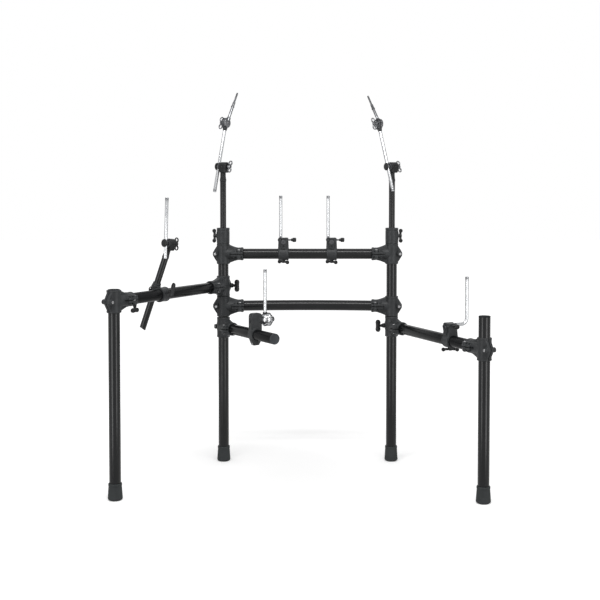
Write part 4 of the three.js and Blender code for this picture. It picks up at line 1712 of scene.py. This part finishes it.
@dataclass(frozen=True)
class CymbalArm:
    """Cymbal arm on an inner post: riser, knuckle, leaning rod, tilter and its post."""

    side: Side
    angle: float
    rod_lean: float
    post_lean: float
    head_height: float = 1085
    length: float = 435
    below: float = 96
    above: float = 169
    disc: float = 18
    disc_width: float = 9.2
    teeth: int = 40
    dents: int = 8
    bolt: float = 3
    post: float = 5
    post_length: float = 94
    tip: float = 3.4
    tip_length: float = 40
    mould: Moulding = Moulding(0.6, 2, 0.5)

    def fixed_disc(self, top: float) -> Mesh:
        """Half of the tilter on the rod, bored for its bolt and dented on its outer face.

        Args:
            top: Height at which the rod ends.

        Returns:
            The plain mesh.
        """
        width, middle = self.disc_width, (0, 0, self.above)
        body = self.mould.skin([bar(self.disc, -width, 0, 1.2, "X", place=middle),
                                brick((-width, -8, top - 4), (-0.4, 8, self.above - 8), 1.5)])
        tools = [pin(self.bolt + GAP, -width - OVERRUN, OVERRUN, axis="X", place=middle)]
        for turn in range(self.dents):
            spot = at(*middle) @ spin("X", 360 / self.dents * turn + 20) @ at(0, 0, self.disc - 5)
            tools.append(moved(bar(1.7, -width - OVERRUN, 1.4 - width, 0, "X", 12), spot))
        return cut(body, [joined(tools)])

    def rod(self, shop: Shop, base: Matrix) -> None:
        """Fits the chrome rod with the fixed half of the tilter.

        Args:
            shop: Shop with the finishes.
            base: Frame on the rod's axis at the knuckle.
        """
        look, width = shop.finish, self.disc_width
        top = self.above - self.disc + 1
        low, high = STOCK.rod - 0.5, STOCK.rod + 0.5
        cone = [(low, top - 14), (high, top - 14), (9, top - 3), (9, top), (low, top)]
        piece = shop.start(Kind.BRIGHT, f"cymbal_rod_{self.side.label}", base)
        piece.add(look.chrome, upright_rod(-self.below, 6 - self.below, top))
        piece.add(look.cast_chrome, moved(rod_end(self.below), spin("X", 180)))
        piece.add(look.nylon, lathe(softened(cone, 0.6, 2, closed=True), ring=True))
        piece.add(look.dark_steel, self.fixed_disc(top))
        piece.add(look.dark_steel, shop.ridges(self.teeth, self.disc - 0.6, 0.9, width - 2.4, 0, "X", 5),
                  at(-width / 2, 0, self.above))
        piece.add(look.chrome, pipe(self.disc - 6.5, 4, -width - 0.8, 0.5 - width, "X", FITTING_SIDES, 0.3,
                                    (0, 0, self.above)))
        piece.fit()

    def tilter(self, shop: Shop, base: Matrix) -> None:
        """Fits the turning half of the tilter with the cymbal post.

        Args:
            shop: Shop with the finishes.
            base: Frame at the tilter's axis, along the cymbal post.
        """
        look, disc, foot = shop.finish, self.disc, self.post + 2.6
        shift = (GAP + self.post, 0, 0)
        seat = [(0, disc * 0.4), (foot, disc * 0.4), (foot, disc + 3),
                (self.post + 0.6, disc + 7), (0, disc + 7)]
        body = self.mould.skin([bar(disc, GAP, GAP + self.disc_width, 1.4, "X"),
                                lathe(softened(seat, 1), SMALL_SIDES, place=shift)])
        step, end, thin = self.post_length, self.post_length + self.tip_length, self.tip - 0.3
        post = [(0, disc), (self.post, disc), (self.post, step - 3), (self.tip + 0.4, step), (thin, step + 1),
                (thin, end - 1.5), (self.tip - 1.4, end), (0, end)]
        piece = shop.start(Kind.BRIGHT, f"cymbal_tilter_{self.side.label}", base)
        piece.add(look.cast_chrome, cut(body, [pin(self.bolt + GAP, 0, self.disc_width + OVERRUN, axis="X")]))
        piece.add(look.dark_steel, shop.ridges(self.teeth, disc - 0.7, 0.85, 3.4, GAP + 2.2, "X", 5))
        for finish, mesh in (
                (look.cast_chrome, lathe(softened(post, 0.6), SMALL_SIDES)),
                (look.cast_chrome, shop.thread(self.tip - 0.45, step + 2, end - 2)),
                (look.dark_steel, pipe(self.post + 1.1, 1.6, step - 24, step - 20, sides=SMALL_SIDES))):
            piece.add(finish, mesh, at(*shift))
        piece.fit()

    def build(self, shop: Shop, post: Matrix) -> None:
        """Builds the whole arm on its post.

        Args:
            shop: Shop with the finishes.
            post: Frame of the post.
        """
        label, knuckle = self.side.label, Knuckle()
        head = placed(post, (0, 0, self.head_height), "Z", self.angle)
        knuckle.fixed_half(shop, f"riser_{label}", head, self.length)
        lean = placed(head, axis="X", degrees=-self.rod_lean)
        holder = shop.start(Kind.KNUCKLE, f"rod_holder_{label}", lean)
        knuckle.turning_half(shop, holder, rod_hole=True)
        holder.fit()
        knuckle.fit_nut(shop, f"arm_nut_{label}", lean, bright=True)
        rod = placed(lean, (-knuckle.rod_offset, 0, 0))
        self.rod(shop, rod)
        self.tilter(shop, placed(rod, (0, 0, self.above), "X", self.rod_lean - self.post_lean))
        bolt = HandBolt(WingStyle.LOOPED, 48, 17, 6.5, 7, 3, 3, 2 * self.disc_width)
        seat = placed(rod, (-self.disc_width, 0, self.above), "Y", -90)
        bolt.fit(shop, f"tilter_bolt_{label}", seat, bright=True)


@dataclass(frozen=True)
class RodMount:
    """L-rod mount on a bar along X: block, bent rod, side screw and wing bolt."""

    label: str
    width: float = 38
    ring: float = 24
    base_half: float = 20
    top_half: float = 15
    height: float = 62
    strap_screw: float = 44
    open_hole: float = 28
    rod_height: float = 51
    rod_shift: float = 11
    rod_front: float = 16
    rod_behind: float = 72
    wing_turn: float = 50
    rod_top: float = 212
    bend: float = 20
    screw: float = 3
    screw_reach: float = 28
    knob: float = 8
    knob_length: float = 14
    mould: Moulding = Moulding(0.9, 2, 0.45)

    def body(self) -> Mesh:
        """Moulded block with its lobes and its strap, before its bores are cut.

        Returns:
            The mesh.
        """
        half, deep = self.width / 2, self.top_half + 1.8
        strap = [(-16.5, 50), (-6, 19), (6, 19), (16.5, 50), (10, 54), (0, 33), (-10, 54)]
        return self.mould.skin([
            brick((-half - 1.5, -self.base_half, 0), (half + 1.5, self.base_half, self.height - 3), 3,
                  (0.88, self.top_half / self.base_half)),
            bar(self.ring, -half, half, 2, "X", TUBE_SIDES),
            *[pipe(self.ring + 0.8, 3, x - 1.6, x + 1.6, "X") for x in (2.6 - half, half - 2.6)],
            *[pin(radius, -deep, deep, 1.4, "Y", (x, 0, self.rod_height))
              for x, radius in ((-self.rod_shift, 9.6), (self.rod_shift - 1, 8.4))],
            plate(softened(strap, 3, closed=True), -self.base_half - 2.2, 4 - self.top_half, 0.8),
            pin(9, -self.ring - 0.4, 0, 1)])

    def block(self, shop: Shop, base: Matrix) -> None:
        """Fits the block with the blackened screw of its strap.

        Args:
            shop: Shop with the finishes.
            base: Frame on the bar's axis.
        """
        half = self.width / 2
        tools = [bore(STOCK.bore, -half - 4, half + 4, "X"),
                 bar(STOCK.rod + GAP, -30, 30, 0, "Y", place=(-self.rod_shift, 0, self.rod_height)),
                 pin(self.screw + GAP, -self.rod_shift, half + 6, axis="X", place=(0, 0, self.rod_height)),
                 pin(3.8, -self.ring - 4, -10),
                 pin(4.6, -30, -8, axis="Y", place=(0, 0, self.open_hole)),
                 brick((-half - 4, 12, -1.3), (half + 4, self.ring + 6, 1.3))]
        piece = shop.start(Kind.MOULDING, f"mount_block_{self.label}", base)
        piece.add(shop.finish.nylon, cut(self.body(), tools))
        seat = at(0, -self.base_half - 1.2, self.strap_screw) @ spin("X", 90)
        piece.add(shop.finish.dark_steel, moved(KeyScrew(head=8.4, height=3.6, socket=3.2).screw(), seat))
        piece.fit()

    def bent_rod(self, shop: Shop, base: Matrix) -> None:
        """Fits the bent chrome rod.

        Args:
            shop: Shop with the finishes.
            base: Frame on the bar's axis.
        """
        y, z, side = self.rod_behind - self.bend, self.rod_height + self.bend, at(-self.rod_shift)
        path = [Vector((0, -self.rod_front, self.rod_height)), Vector((0, 0, self.rod_height))]
        for turn in range(15):
            angle = math.pi / 2 * turn / 14
            path.append(Vector((0, y + self.bend * math.sin(angle), z - self.bend * math.cos(angle))))
        path.append(Vector((0, self.rod_behind, self.rod_top)))
        piece = shop.start(Kind.BRIGHT, f"mount_rod_{self.label}", base)
        piece.add(shop.finish.chrome, rod_along(path, STOCK.rod), side)
        piece.add(shop.finish.cast_chrome, rod_end(self.rod_top), side @ at(0, self.rod_behind))
        piece.fit()

    def side_screw(self, shop: Shop, base: Matrix) -> None:
        """Fits the knurled side screw.

        Args:
            shop: Shop with the finishes.
            base: Frame on the bar's axis.
        """
        look, knob = shop.finish, self.knob - 0.6
        end = self.width / 2 + self.screw_reach
        start = end - self.knob_length
        shape = [(0, start - 5), (5.2, start - 5), (5.2, start), (knob, start), (knob, end - 1.6),
                 (self.knob - 2.4, end), (2.5, end), (1.8, end - 0.8), (0, end - 0.8)]
        piece = shop.start(Kind.KNURLED, f"mount_screw_{self.label}", placed(base, (0, 0, self.rod_height)))
        piece.add(look.dark_steel,
                  pin(self.screw - 0.3, -self.rod_shift + STOCK.rod + GAP, start + 2, 0.4, "X"))
        piece.add(look.dark_steel, shop.thread(self.screw - 0.45, 6, start - 2, "X"))
        piece.add(look.satin, lathe(softened(shape, 0.7), axis="X"))
        piece.add(look.satin, shop.ridges(28, self.knob - 0.65, 0.62, self.knob_length - 4.2,
                                          (start + end) / 2, "X"))
        piece.fit()

    def build(self, shop: Shop, base: Matrix) -> None:
        """Builds the whole mount on its bar.

        Args:
            shop: Shop with the finishes.
            base: Frame on the bar's axis.
        """
        self.block(shop, base)
        self.bent_rod(shop, base)
        self.side_screw(shop, base)
        bolt = HandBolt(WingStyle.LOBED, 60, 12, 8, 6, 1, 3.5, self.ring - STOCK.tube - GAP)
        seat = placed(base, (0, 0, -self.ring), "X", 180)
        bolt.fit(shop, f"mount_bolt_{self.label}", seat, self.wing_turn)


# Main sub-assemblies


@dataclass(frozen=True)
class Layout:
    """Places of the uprights and bars, built up from the stack of clamps on the posts."""

    spacing: float = 618
    arm_reach: float = 600
    snare_height: float = 496
    lower_bar: float = 573.5
    left_arm: float = 648
    right_arm: float = 499
    upper_bar: float = 765.7
    bow: float = 26
    left_rise: float = 38.8
    right_rise: float = 106
    short_reach: float = 74
    long_reach: float = 84
    left_angle: float = -122.1
    right_angle: float = -65
    snare_angle: float = -57.6
    tom_place: float = 88.3
    side_place: float = 399

    @property
    def half(self) -> float:
        """Half the distance between the posts."""
        return self.spacing / 2

    def middle(self, height: float = 0) -> Matrix:
        """Frame between the posts, at a height above the floor.

        Args:
            height: Height above the floor.

        Returns:
            The frame.
        """
        corners = [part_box(f"post_{side.label}") for side in Side]
        centre = sum((low + high for low, high in corners), Vector()) / (4 * MM)
        return at(centre.x, centre.y) @ at(z=height)

    def post(self, side: Side) -> Matrix:
        """Frame of a post, on the floor."""
        return placed(self.middle(), (side.value * self.half, 0, 0))


@dataclass(frozen=True)
class Posts:
    """The two inner posts with their feet and sleeves."""

    layout: Layout

    def build(self, shop: Shop) -> None:
        """Builds both posts.

        Args:
            shop: Shop with the finishes.
        """
        foot, sleeve = Foot(), Sleeve()
        for side in Side:
            post = self.layout.post(side)
            top = sleeve.bottom + sleeve.seat - GAP
            shop.tube(f"post_{side.label}", post, foot.floor + GAP, top).fit()
            foot.fit(shop, f"foot_inner_{side.label}", post)
            sleeve.fit(shop, side, post)


class Crossbars:
    """The two crossbars with their four clamps."""

    def __init__(self, layout: Layout) -> None:
        """Keeps the layout and works out the bow of the lower bar.

        Args:
            layout: Places of the bars.
        """
        self.layout = layout
        self.start = TClamp().tube_start
        self.arc_start = layout.short_reach + TClamp.slot
        self.turn = 2 * math.atan(layout.bow / (layout.half + self.arc_start))

    def bowed_path(self) -> list[Vector]:
        """Path of the lower bar: straight in its clamps and bowed between them.

        Returns:
            The points.
        """
        half, turn = self.layout.half, self.turn
        radius = (half - self.arc_start * math.cos(turn)) / math.sin(turn)
        centre = self.layout.bow - radius
        angles = [turn * (2 * k / 48 - 1) for k in range(49)]
        arc = [Vector((radius * math.sin(a), centre + radius * math.cos(a), 0)) for a in angles]
        end = Vector((half - self.start * math.cos(turn), self.start * math.sin(turn), 0))
        return [Vector((-end.x, end.y, 0)), *arc, end]

    def build(self, shop: Shop, clamps: ClampMaker) -> None:
        """Builds both bars and their clamps.

        Args:
            shop: Shop with the finishes.
            clamps: Maker of the clamps.
        """
        layout, end = self.layout, self.layout.half - self.start
        shop.tube("crossbar_upper", layout.middle(layout.upper_bar), -end, end, "X").fit()
        lower = shop.start(Kind.TUBE, "crossbar_lower", layout.middle(layout.lower_bar))
        lower.add(shop.finish.powder, swept(self.bowed_path(), STOCK.tube, TUBE_SIDES, STOCK.wall))
        lower.fit()
        for side in Side:
            facing = 0 if side is Side.LEFT else 180
            inward = facing - side.value * math.degrees(self.turn)
            for level, height, angle in (("upper", layout.upper_bar, facing),
                                         ("lower", layout.lower_bar, inward)):
                clamps.fit(f"bar_clamp_{level}_{side.label}",
                           placed(layout.post(side), (0, 0, height), "Z", angle),
                           layout.short_reach, side.value)


@dataclass(frozen=True)
class SideArm:
    """Swinging side arm with its two clamps and its outer leg."""

    side: Side
    height: float
    angle: float
    inner_pad: int
    rise: float
    pad_bolt: bool

    def frame(self, layout: Layout) -> Matrix:
        """Frame of the arm, on the post's axis at the arm's height."""
        return placed(layout.post(self.side), (0, 0, self.height), "Z", self.angle)

    def leg(self, shop: Shop, end: Matrix) -> None:
        """Fits the outer leg with its plug and its foot.

        Args:
            shop: Shop with the finishes.
            end: Frame on the leg's axis at the arm's height.
        """
        foot, plug, label = Foot(), EndPlug(), self.side.label
        leg = shop.tube(f"leg_{label}", end, foot.floor + GAP - self.height, self.rise - plug.thickness)
        leg.add(shop.finish.cap, plug.mesh(), at(z=self.rise))
        leg.fit()
        foot.fit(shop, f"foot_outer_{label}", placed(end, (0, 0, -self.height)))

    def build(self, shop: Shop, clamps: ClampMaker, layout: Layout) -> None:
        """Builds the arm, its leg and its hand bolts.

        Args:
            shop: Shop with the finishes.
            clamps: Maker of the clamps.
            layout: Places of the bars.
        """
        label, arm, size, pad = self.side.label, self.frame(layout), clamps.size, self.inner_pad
        reach = layout.long_reach
        clamps.fit(f"arm_clamp_inner_{label}", arm, reach, pad, ear_bolt=True)
        shop.tube(f"side_arm_{label}", arm, size.tube_start, layout.arm_reach - size.tube_start, "X",
                  shop.finish.arm_coat).fit()
        bolt = HandBolt(WingStyle.T_HANDLE, 45, 24, 12, 6.5, 6, 4, size.ear_length)
        seat = placed(arm, (-size.ear_offset, pad * size.ear_length / 2, 0), "X", -pad * 90)
        bolt.fit(shop, f"t_bolt_{label}", seat, 90)
        end = placed(arm, (layout.arm_reach, 0, 0), "Z", 180)
        clamps.fit(f"arm_clamp_outer_{label}", end, reach, -pad, pad_screw=not self.pad_bolt)
        self.leg(shop, end)
        if self.pad_bolt:
            knob = HandBolt(WingStyle.T_HANDLE, 34, 20, 11, 6.5, 7, 4, size.pad_height)
            place = (size.pad_place(reach), -pad * size.pad_offset, -size.pad_height / 2)
            knob.fit(shop, f"hanging_knob_{label}", placed(end, place, "X", 180))


@dataclass(frozen=True)
class SnareSupport:
    """Snare arm on the left post with its bracket and ball clamp."""

    length: float = 366
    place: float = 233
    half_depth: float = 11
    half_width: float = 22
    below: float = 37
    above: float = 76
    screw_rise: float = 6
    ball_height: float = 50
    ball_offset: float = 47
    ball: float = 23.5
    ball_steps: int = 32
    ball_groove: tuple[float, float] = (1.1, 1.8)
    teeth: int = 16
    neck: float = 9
    rod_offset: float = 40
    rod_rise: float = 178
    mould: Moulding = Moulding(0.95, 3, 0.45)

    def bracket_body(self) -> Mesh:
        """Moulded bracket with its bores, its split and the recesses of its screws cut.

        Returns:
            The mesh.
        """
        wide, deep, middle = self.half_width, self.half_depth, (0, 0, self.ball_height)
        outline = [(-wide, -12), (-wide, self.above), (wide, self.above), (wide, -12), (12, -self.below),
                   (-12, -self.below)]
        body = self.mould.skin([
            moved(plate(softened(outline, 13, 6, closed=True), -deep, deep, 3, 3), spin("Z", 90)),
            bar(wide + 1.6, -deep - 3.5, deep + 3.5, 1.4, "X", TUBE_SIDES),
            brick((1 - deep, -12, -self.below - 0.5), (deep - 1, 12, 14 - self.below), 2),
            bar(14, 12, wide + 0.2, 1.2, "Y", place=middle)])
        return cut(body, [bore(STOCK.bore, -deep - 6, deep + 6, "X"),
                          brick((-deep - 6, -1.4, -self.below - 3), (deep + 6, 1.4, -10)),
                          pin(5.2, 10.2, 20, axis="Y", place=(0, 0, self.screw_rise - self.below)),
                          pin(8.2, -wide - 3, 5 - wide, axis="Y", place=middle)])

    def bracket(self, shop: Shop, board: ScrewBoard, base: Matrix) -> None:
        """Fits the round-cornered bracket and notes its screw.

        Args:
            shop: Shop with the finishes.
            board: Board that collects the screws.
            base: Frame on the arm's axis.
        """
        node, low = "snare_bracket", self.screw_rise - self.below
        nut = joined([hexagon(6.8, 0, 6.2, 0.5, "Y"), pin(3.4, -2.2, 2, 0.5, "Y")])
        piece = shop.start(Kind.MOULDING, node, base)
        piece.add(shop.finish.nylon, self.bracket_body())
        piece.add(shop.finish.dark_steel, nut, at(0, 0.8 - self.half_width, self.ball_height))
        piece.fit()
        board.note(Fastener.SCREW, node, base, (0, -12, low), (0, -1, 0))
        board.note(Fastener.NUT, node, base, (0, 10.4, low), (0, 1, 0))

    def ball_outline(self) -> Outline:
        """Half a circle with a groove at its middle, as radius and height.

        Returns:
            The points.
        """
        made: list[tuple[float, float]] = [(0, -self.ball)]
        groove_half, groove = self.ball_groove
        for k in range(1, self.ball_steps):
            angle = math.pi * k / self.ball_steps - math.pi / 2
            radius, height = self.ball * math.cos(angle), self.ball * math.sin(angle)
            made.append((radius - groove if abs(height) < groove_half else radius, height))
        return [*made, (0, self.ball)]

    def ball_clamp(self, shop: Shop, base: Matrix) -> None:
        """Fits the chrome ball clamp with its upright rod.

        Args:
            shop: Shop with the finishes.
            base: Frame at the height of the ball's axis.
        """
        look, ball, near = shop.finish, self.ball, self.half_width + GAP
        centre, upright = at(0, self.ball_offset), at(0, self.rod_offset)
        piece = shop.start(Kind.BRIGHT, "snare_rod", base)
        piece.add(look.chrome, lathe(self.ball_outline(), axis="Y"), centre)
        for share in (0.36, -0.36):
            piece.add(look.satin, shop.ridges(self.teeth, ball - 1.4, 1.7, 5.6, 0, "Y", 8),
                      centre @ at(0, ball * share))
        for finish, mesh, place in (
                (look.chrome, bar(self.neck, near, self.ball_offset - ball * 0.6, 1, "Y"), Matrix()),
                (look.dark_steel, pipe(self.neck + 3.5, 4, near, self.half_width + 4, "Y", FITTING_SIDES),
                 Matrix()),
                (look.satin, bar(9, ball * 0.75, ball + 3.2, 1.2, "Y"), centre),
                (look.chrome, upright_rod(0, 40, self.rod_rise), upright),
                (look.satin, pipe(STOCK.rod + 2.6, 2.7, ball - 2.5, ball + 2.5, sides=SMALL_SIDES), upright),
                (look.cast_chrome, rod_end(self.rod_rise), upright)):
            piece.add(finish, mesh, place)
        piece.fit()

    def build(self, shop: Shop, board: ScrewBoard, clamps: ClampMaker, layout: Layout) -> None:
        """Builds the snare arm and all that it carries.

        Args:
            shop: Shop with the finishes.
            board: Board that collects the screws.
            clamps: Maker of the clamps.
            layout: Places of the bars.
        """
        arm = placed(layout.post(Side.LEFT), (0, 0, layout.snare_height), "Z", layout.snare_angle)
        clamps.fit("snare_arm_clamp", arm, layout.short_reach, -1)
        plug = EndPlug()
        tube = shop.tube("snare_arm", arm, clamps.size.tube_start, self.length - plug.thickness, "X",
                         shop.finish.arm_coat)
        tube.add(shop.finish.plug, plug.mesh(), at(self.length) @ along("X"))
        tube.fit()
        bracket = placed(arm, (self.place, 0, 0))
        self.bracket(shop, board, bracket)
        self.ball_clamp(shop, placed(bracket, (0, 0, self.ball_height)))


@dataclass(frozen=True)
class HihatBoom:
    """Hi-hat boom: a cross clamp behind the left side arm and a slim tube with a knuckle."""

    place: float = 355
    ring_length: float = 36
    ring: float = 24.5
    offset: float = 34
    socket: float = 15.6
    socket_length: float = 42
    bridge: float = 26
    boss: float = 9
    boss_bore: float = 4.3
    reach: float = 33
    eye_reach: float = 20.5
    below: float = 149
    above: float = 174
    rod_below: float = 53
    rod_above: float = 155
    cross_lean: float = -20.6
    lean: float = -2.4
    angle: float = 169
    rod_lean: float = 24
    boss_lean: float = 20
    wing_turn: float = 53
    slant: float = 24
    mould: Moulding = Moulding(0.9, 3, 0.45)

    def boom(self, cross: Matrix) -> Matrix:
        """Frame of the slim tube, from that of the cross clamp's socket side."""
        return placed(cross, (0, -self.offset, 0), "Y", self.lean)

    def body(self, cross: Matrix, raised: Matrix) -> Mesh:
        """Cross clamp with its bores and its split cut.

        Args:
            cross: Frame of its socket side.
            raised: Frame of its boss.

        Returns:
            The plain mesh.
        """
        half, deep, bridge = self.ring_length / 2, self.socket_length / 2, self.bridge / 2
        lean = self.boom(cross)
        body = self.mould.skin([
            bar(self.ring, -half, half, 2, "X", TUBE_SIDES),
            *[pipe(self.ring + 0.9, 3, x - 2, x + 2, "X") for x in (2.4 - half, half - 2.4)],
            moved(bar(self.socket, -deep, deep, 1.5), lean),
            moved(brick((-bridge, -self.offset, -bridge), (bridge, 0, bridge), 3), cross),
            moved(pin(self.boss, 12, self.reach, 1.4, "Y"), raised),
            moved(pin(6.5, 0, self.eye_reach, 1, "X"), lean),
            moved(bar(STOCK.slim + 3.2, 18, 29, 1.2), lean)])
        split = brick((-half - 4, -self.ring - 20, -1.3), (half + 4, -17, 1.3))
        return cut(body, [bore(STOCK.bore, -half - 4, half + 4, "X"),
                          moved(bar(STOCK.slim + GAP, -deep - 4, deep + 12, 0), lean),
                          moved(pin(self.boss_bore, 0, self.reach + 3, axis="Y"), raised),
                          moved(split, cross @ at(z=-16))])

    def clamp(self, shop: Shop, board: ScrewBoard, base: Matrix) -> None:
        """Fits the cross clamp with its ring screw and its hand bolt.

        Args:
            shop: Shop with the finishes.
            board: Board that collects the screws.
            base: Frame on the arm's axis.
        """
        raised, cross, node = spin("X", self.boss_lean), spin("X", self.cross_lean), "hihat_clamp"
        piece = shop.start(Kind.MOULDING, node, base)
        piece.add(shop.finish.nylon, self.body(cross, raised))
        eye = HandBolt(WingStyle.LOOPED, 34, 14, 6, 4.6, 1, hub_share=8 / 14)
        for mesh in eye.loops():
            piece.add(shop.finish.satin, mesh, placed(self.boom(cross), (self.eye_reach, 0, 0), "Y", 90))
        piece.fit()
        board.note(Fastener.SCREW, node, base @ cross, (0, 1.5 - self.offset - self.socket, 12), (0, -1, 0.2))
        bolt = HandBolt(WingStyle.T_HANDLE, 60, 20, 10, 8, 4, 4, self.reach - STOCK.tube - GAP)
        seat = placed(base @ raised, (0, self.reach, 0), "X", -90)
        bolt.fit(shop, "hihat_clamp_bolt", seat, self.wing_turn)

    def build(self, shop: Shop, board: ScrewBoard, arm: Matrix) -> None:
        """Builds the boom and all that it carries on its arm.

        Args:
            shop: Shop with the finishes.
            board: Board that collects the screws.
            arm: Frame of the side arm.
        """
        look, knuckle, seat = shop.finish, Knuckle(), placed(arm, (self.place, 0, 0))
        self.clamp(shop, board, seat)
        boom = self.boom(placed(seat, axis="X", degrees=self.cross_lean))
        head = placed(boom, (0, 0, self.above), "Z", self.angle)
        knuckle.fixed_half(shop, "hihat_boom", head, self.above + self.below, self.slant)
        lean = placed(head, axis="X", degrees=-self.rod_lean)
        rod = shop.start(Kind.BRIGHT, "hihat_rod", lean)
        knuckle.turning_half(shop, rod, rod_hole=False)
        aside = at(-knuckle.rod_offset)
        rod.add(look.chrome, upright_rod(-self.rod_below, 0, self.rod_above), aside)
        rod.add(look.cast_chrome, rod_end(self.rod_above), aside)
        rod.fit()
        knuckle.fit_nut(shop, "hihat_nut", lean, bright=False)


# Studio


@dataclass(frozen=True)
class SoftBox:
    """Area light that faces a point of the rack.

    A sheen panel shows in glossy surfaces and adds nothing to the plain level of the light.
    """

    name: str
    place: Point
    size: tuple[float, float]
    power: float
    sheen: bool = False
    aim: Point = (0.0, 0.1, 0.65)

    def build(self) -> None:
        """Makes the light."""
        data = bpy.data.lights.new(self.name, "AREA")
        data.shape = "RECTANGLE"
        data.size, data.size_y = self.size
        data.energy = self.power
        made = hung(self.name, data)
        made.location = self.place
        made.visible_diffuse = not self.sheen
        made.rotation_euler = (Vector(self.aim) - Vector(self.place)).to_track_quat("-Z", "Y").to_euler()


@dataclass(frozen=True)
class Studio:
    """Floor, world, lights and camera."""

    floor_half: float = 14.0
    camera: Point = (-27.5, -4157.9, 1059.4)
    pitch: float = 2.438
    lens: float = 68.14
    sensor: float = 36
    shift: float = -0.13
    far_end: float = 100
    world_light: float = 0.45
    lights: tuple[SoftBox, ...] = (
        SoftBox("panel_left", (-2.1, -2.4, 0.45), (1.0, 2.8), 48, True, (0, 0.1, 0.45)),
        SoftBox("panel_right", (2.1, -2.4, 0.45), (1.0, 2.8), 48, True, (0, 0.1, 0.45)),
        SoftBox("overhead", (0.0, -1.6, 3.3), (3.4, 0.7), 90),
    )

    def floor(self) -> None:
        """Makes the pale floor."""
        bm = bmesh.new()
        bmesh.ops.create_grid(bm, x_segments=8, y_segments=8, size=self.floor_half)
        mesh = bpy.data.meshes.new("studio_floor")
        bm.to_mesh(mesh)
        bm.free()
        mesh.materials.append(FloorPaint().build())
        made = hung("studio_floor", mesh)
        made.visible_glossy = False

    def world(self) -> None:
        """Makes the white surroundings, plain light for everything but what is seen."""
        world = bpy.data.worlds.new("studio")
        world.use_nodes = True
        maker = NodeBench(world.node_tree)
        path = maker.add("ShaderNodeLightPath").outputs
        seen = maker.math("MAXIMUM", path["Is Camera Ray"], path["Is Glossy Ray"])
        seen = maker.math("MAXIMUM", seen, path["Is Transmission Ray"])
        level = maker.add("ShaderNodeMapRange", Value=seen, To_Min=self.world_light, To_Max=1)
        back = world.node_tree.nodes["Background"]
        maker.feed(back.inputs["Color"], (1, 1, 1, 1))
        maker.feed(back.inputs["Strength"], level.outputs["Result"])
        bpy.context.scene.world = world

    def eye(self, middle: Matrix) -> None:
        """Makes the camera at the picture's viewing angle, its place given from the rack's middle.

        Args:
            middle: Frame of the rack's middle.
        """
        data = bpy.data.cameras.new("camera")
        data.sensor_width = self.sensor
        data.lens = self.lens
        data.shift_y = self.shift
        data.clip_end = self.far_end
        made = hung("camera", data)
        made.location = placed(middle, self.camera).translation * MM
        made.rotation_euler = (math.radians(90 - self.pitch), 0, 0)
        bpy.context.scene.camera = made

    def build(self, layout: Layout) -> None:
        """Makes the whole set.

        Args:
            layout: Places of the bars.
        """
        self.eye(layout.middle())
        self.floor()
        self.world()
        for light in self.lights:
            light.build()
        bpy.context.scene.view_settings.view_transform = "Standard"


def main() -> None:
    """Builds the rack and its studio."""
    logging.basicConfig(level=logging.INFO, format="%(name)s %(message)s")
    layout, shop, board = Layout(), Shop(), ScrewBoard()
    clamps = ClampMaker(shop, board)
    Studio().build(layout)
    Posts(layout).build(shop)
    Crossbars(layout).build(shop, clamps)
    left = SideArm(Side.LEFT, layout.left_arm, layout.left_angle, 1, layout.left_rise, True)
    right = SideArm(Side.RIGHT, layout.right_arm, layout.right_angle, -1, layout.right_rise, False)
    left.build(shop, clamps, layout)
    right.build(shop, clamps, layout)
    for side in Side:
        place = placed(layout.middle(layout.upper_bar), (side.value * layout.tom_place, 0, 0))
        RodMount(f"tom_{side.label}").build(shop, place)
    RodMount("side", wing_turn=-65).build(shop, placed(right.frame(layout), (layout.side_place, 0, 0)))
    SnareSupport().build(shop, board, clamps, layout)
    HihatBoom().build(shop, board, left.frame(layout))
    for arm in (CymbalArm(Side.LEFT, -30, 16.6, 31.7), CymbalArm(Side.RIGHT, 30, 21, 36.8)):
        arm.build(shop, layout.post(arm.side))
    board.fit(shop)


if __name__ == "__main__":
    main()
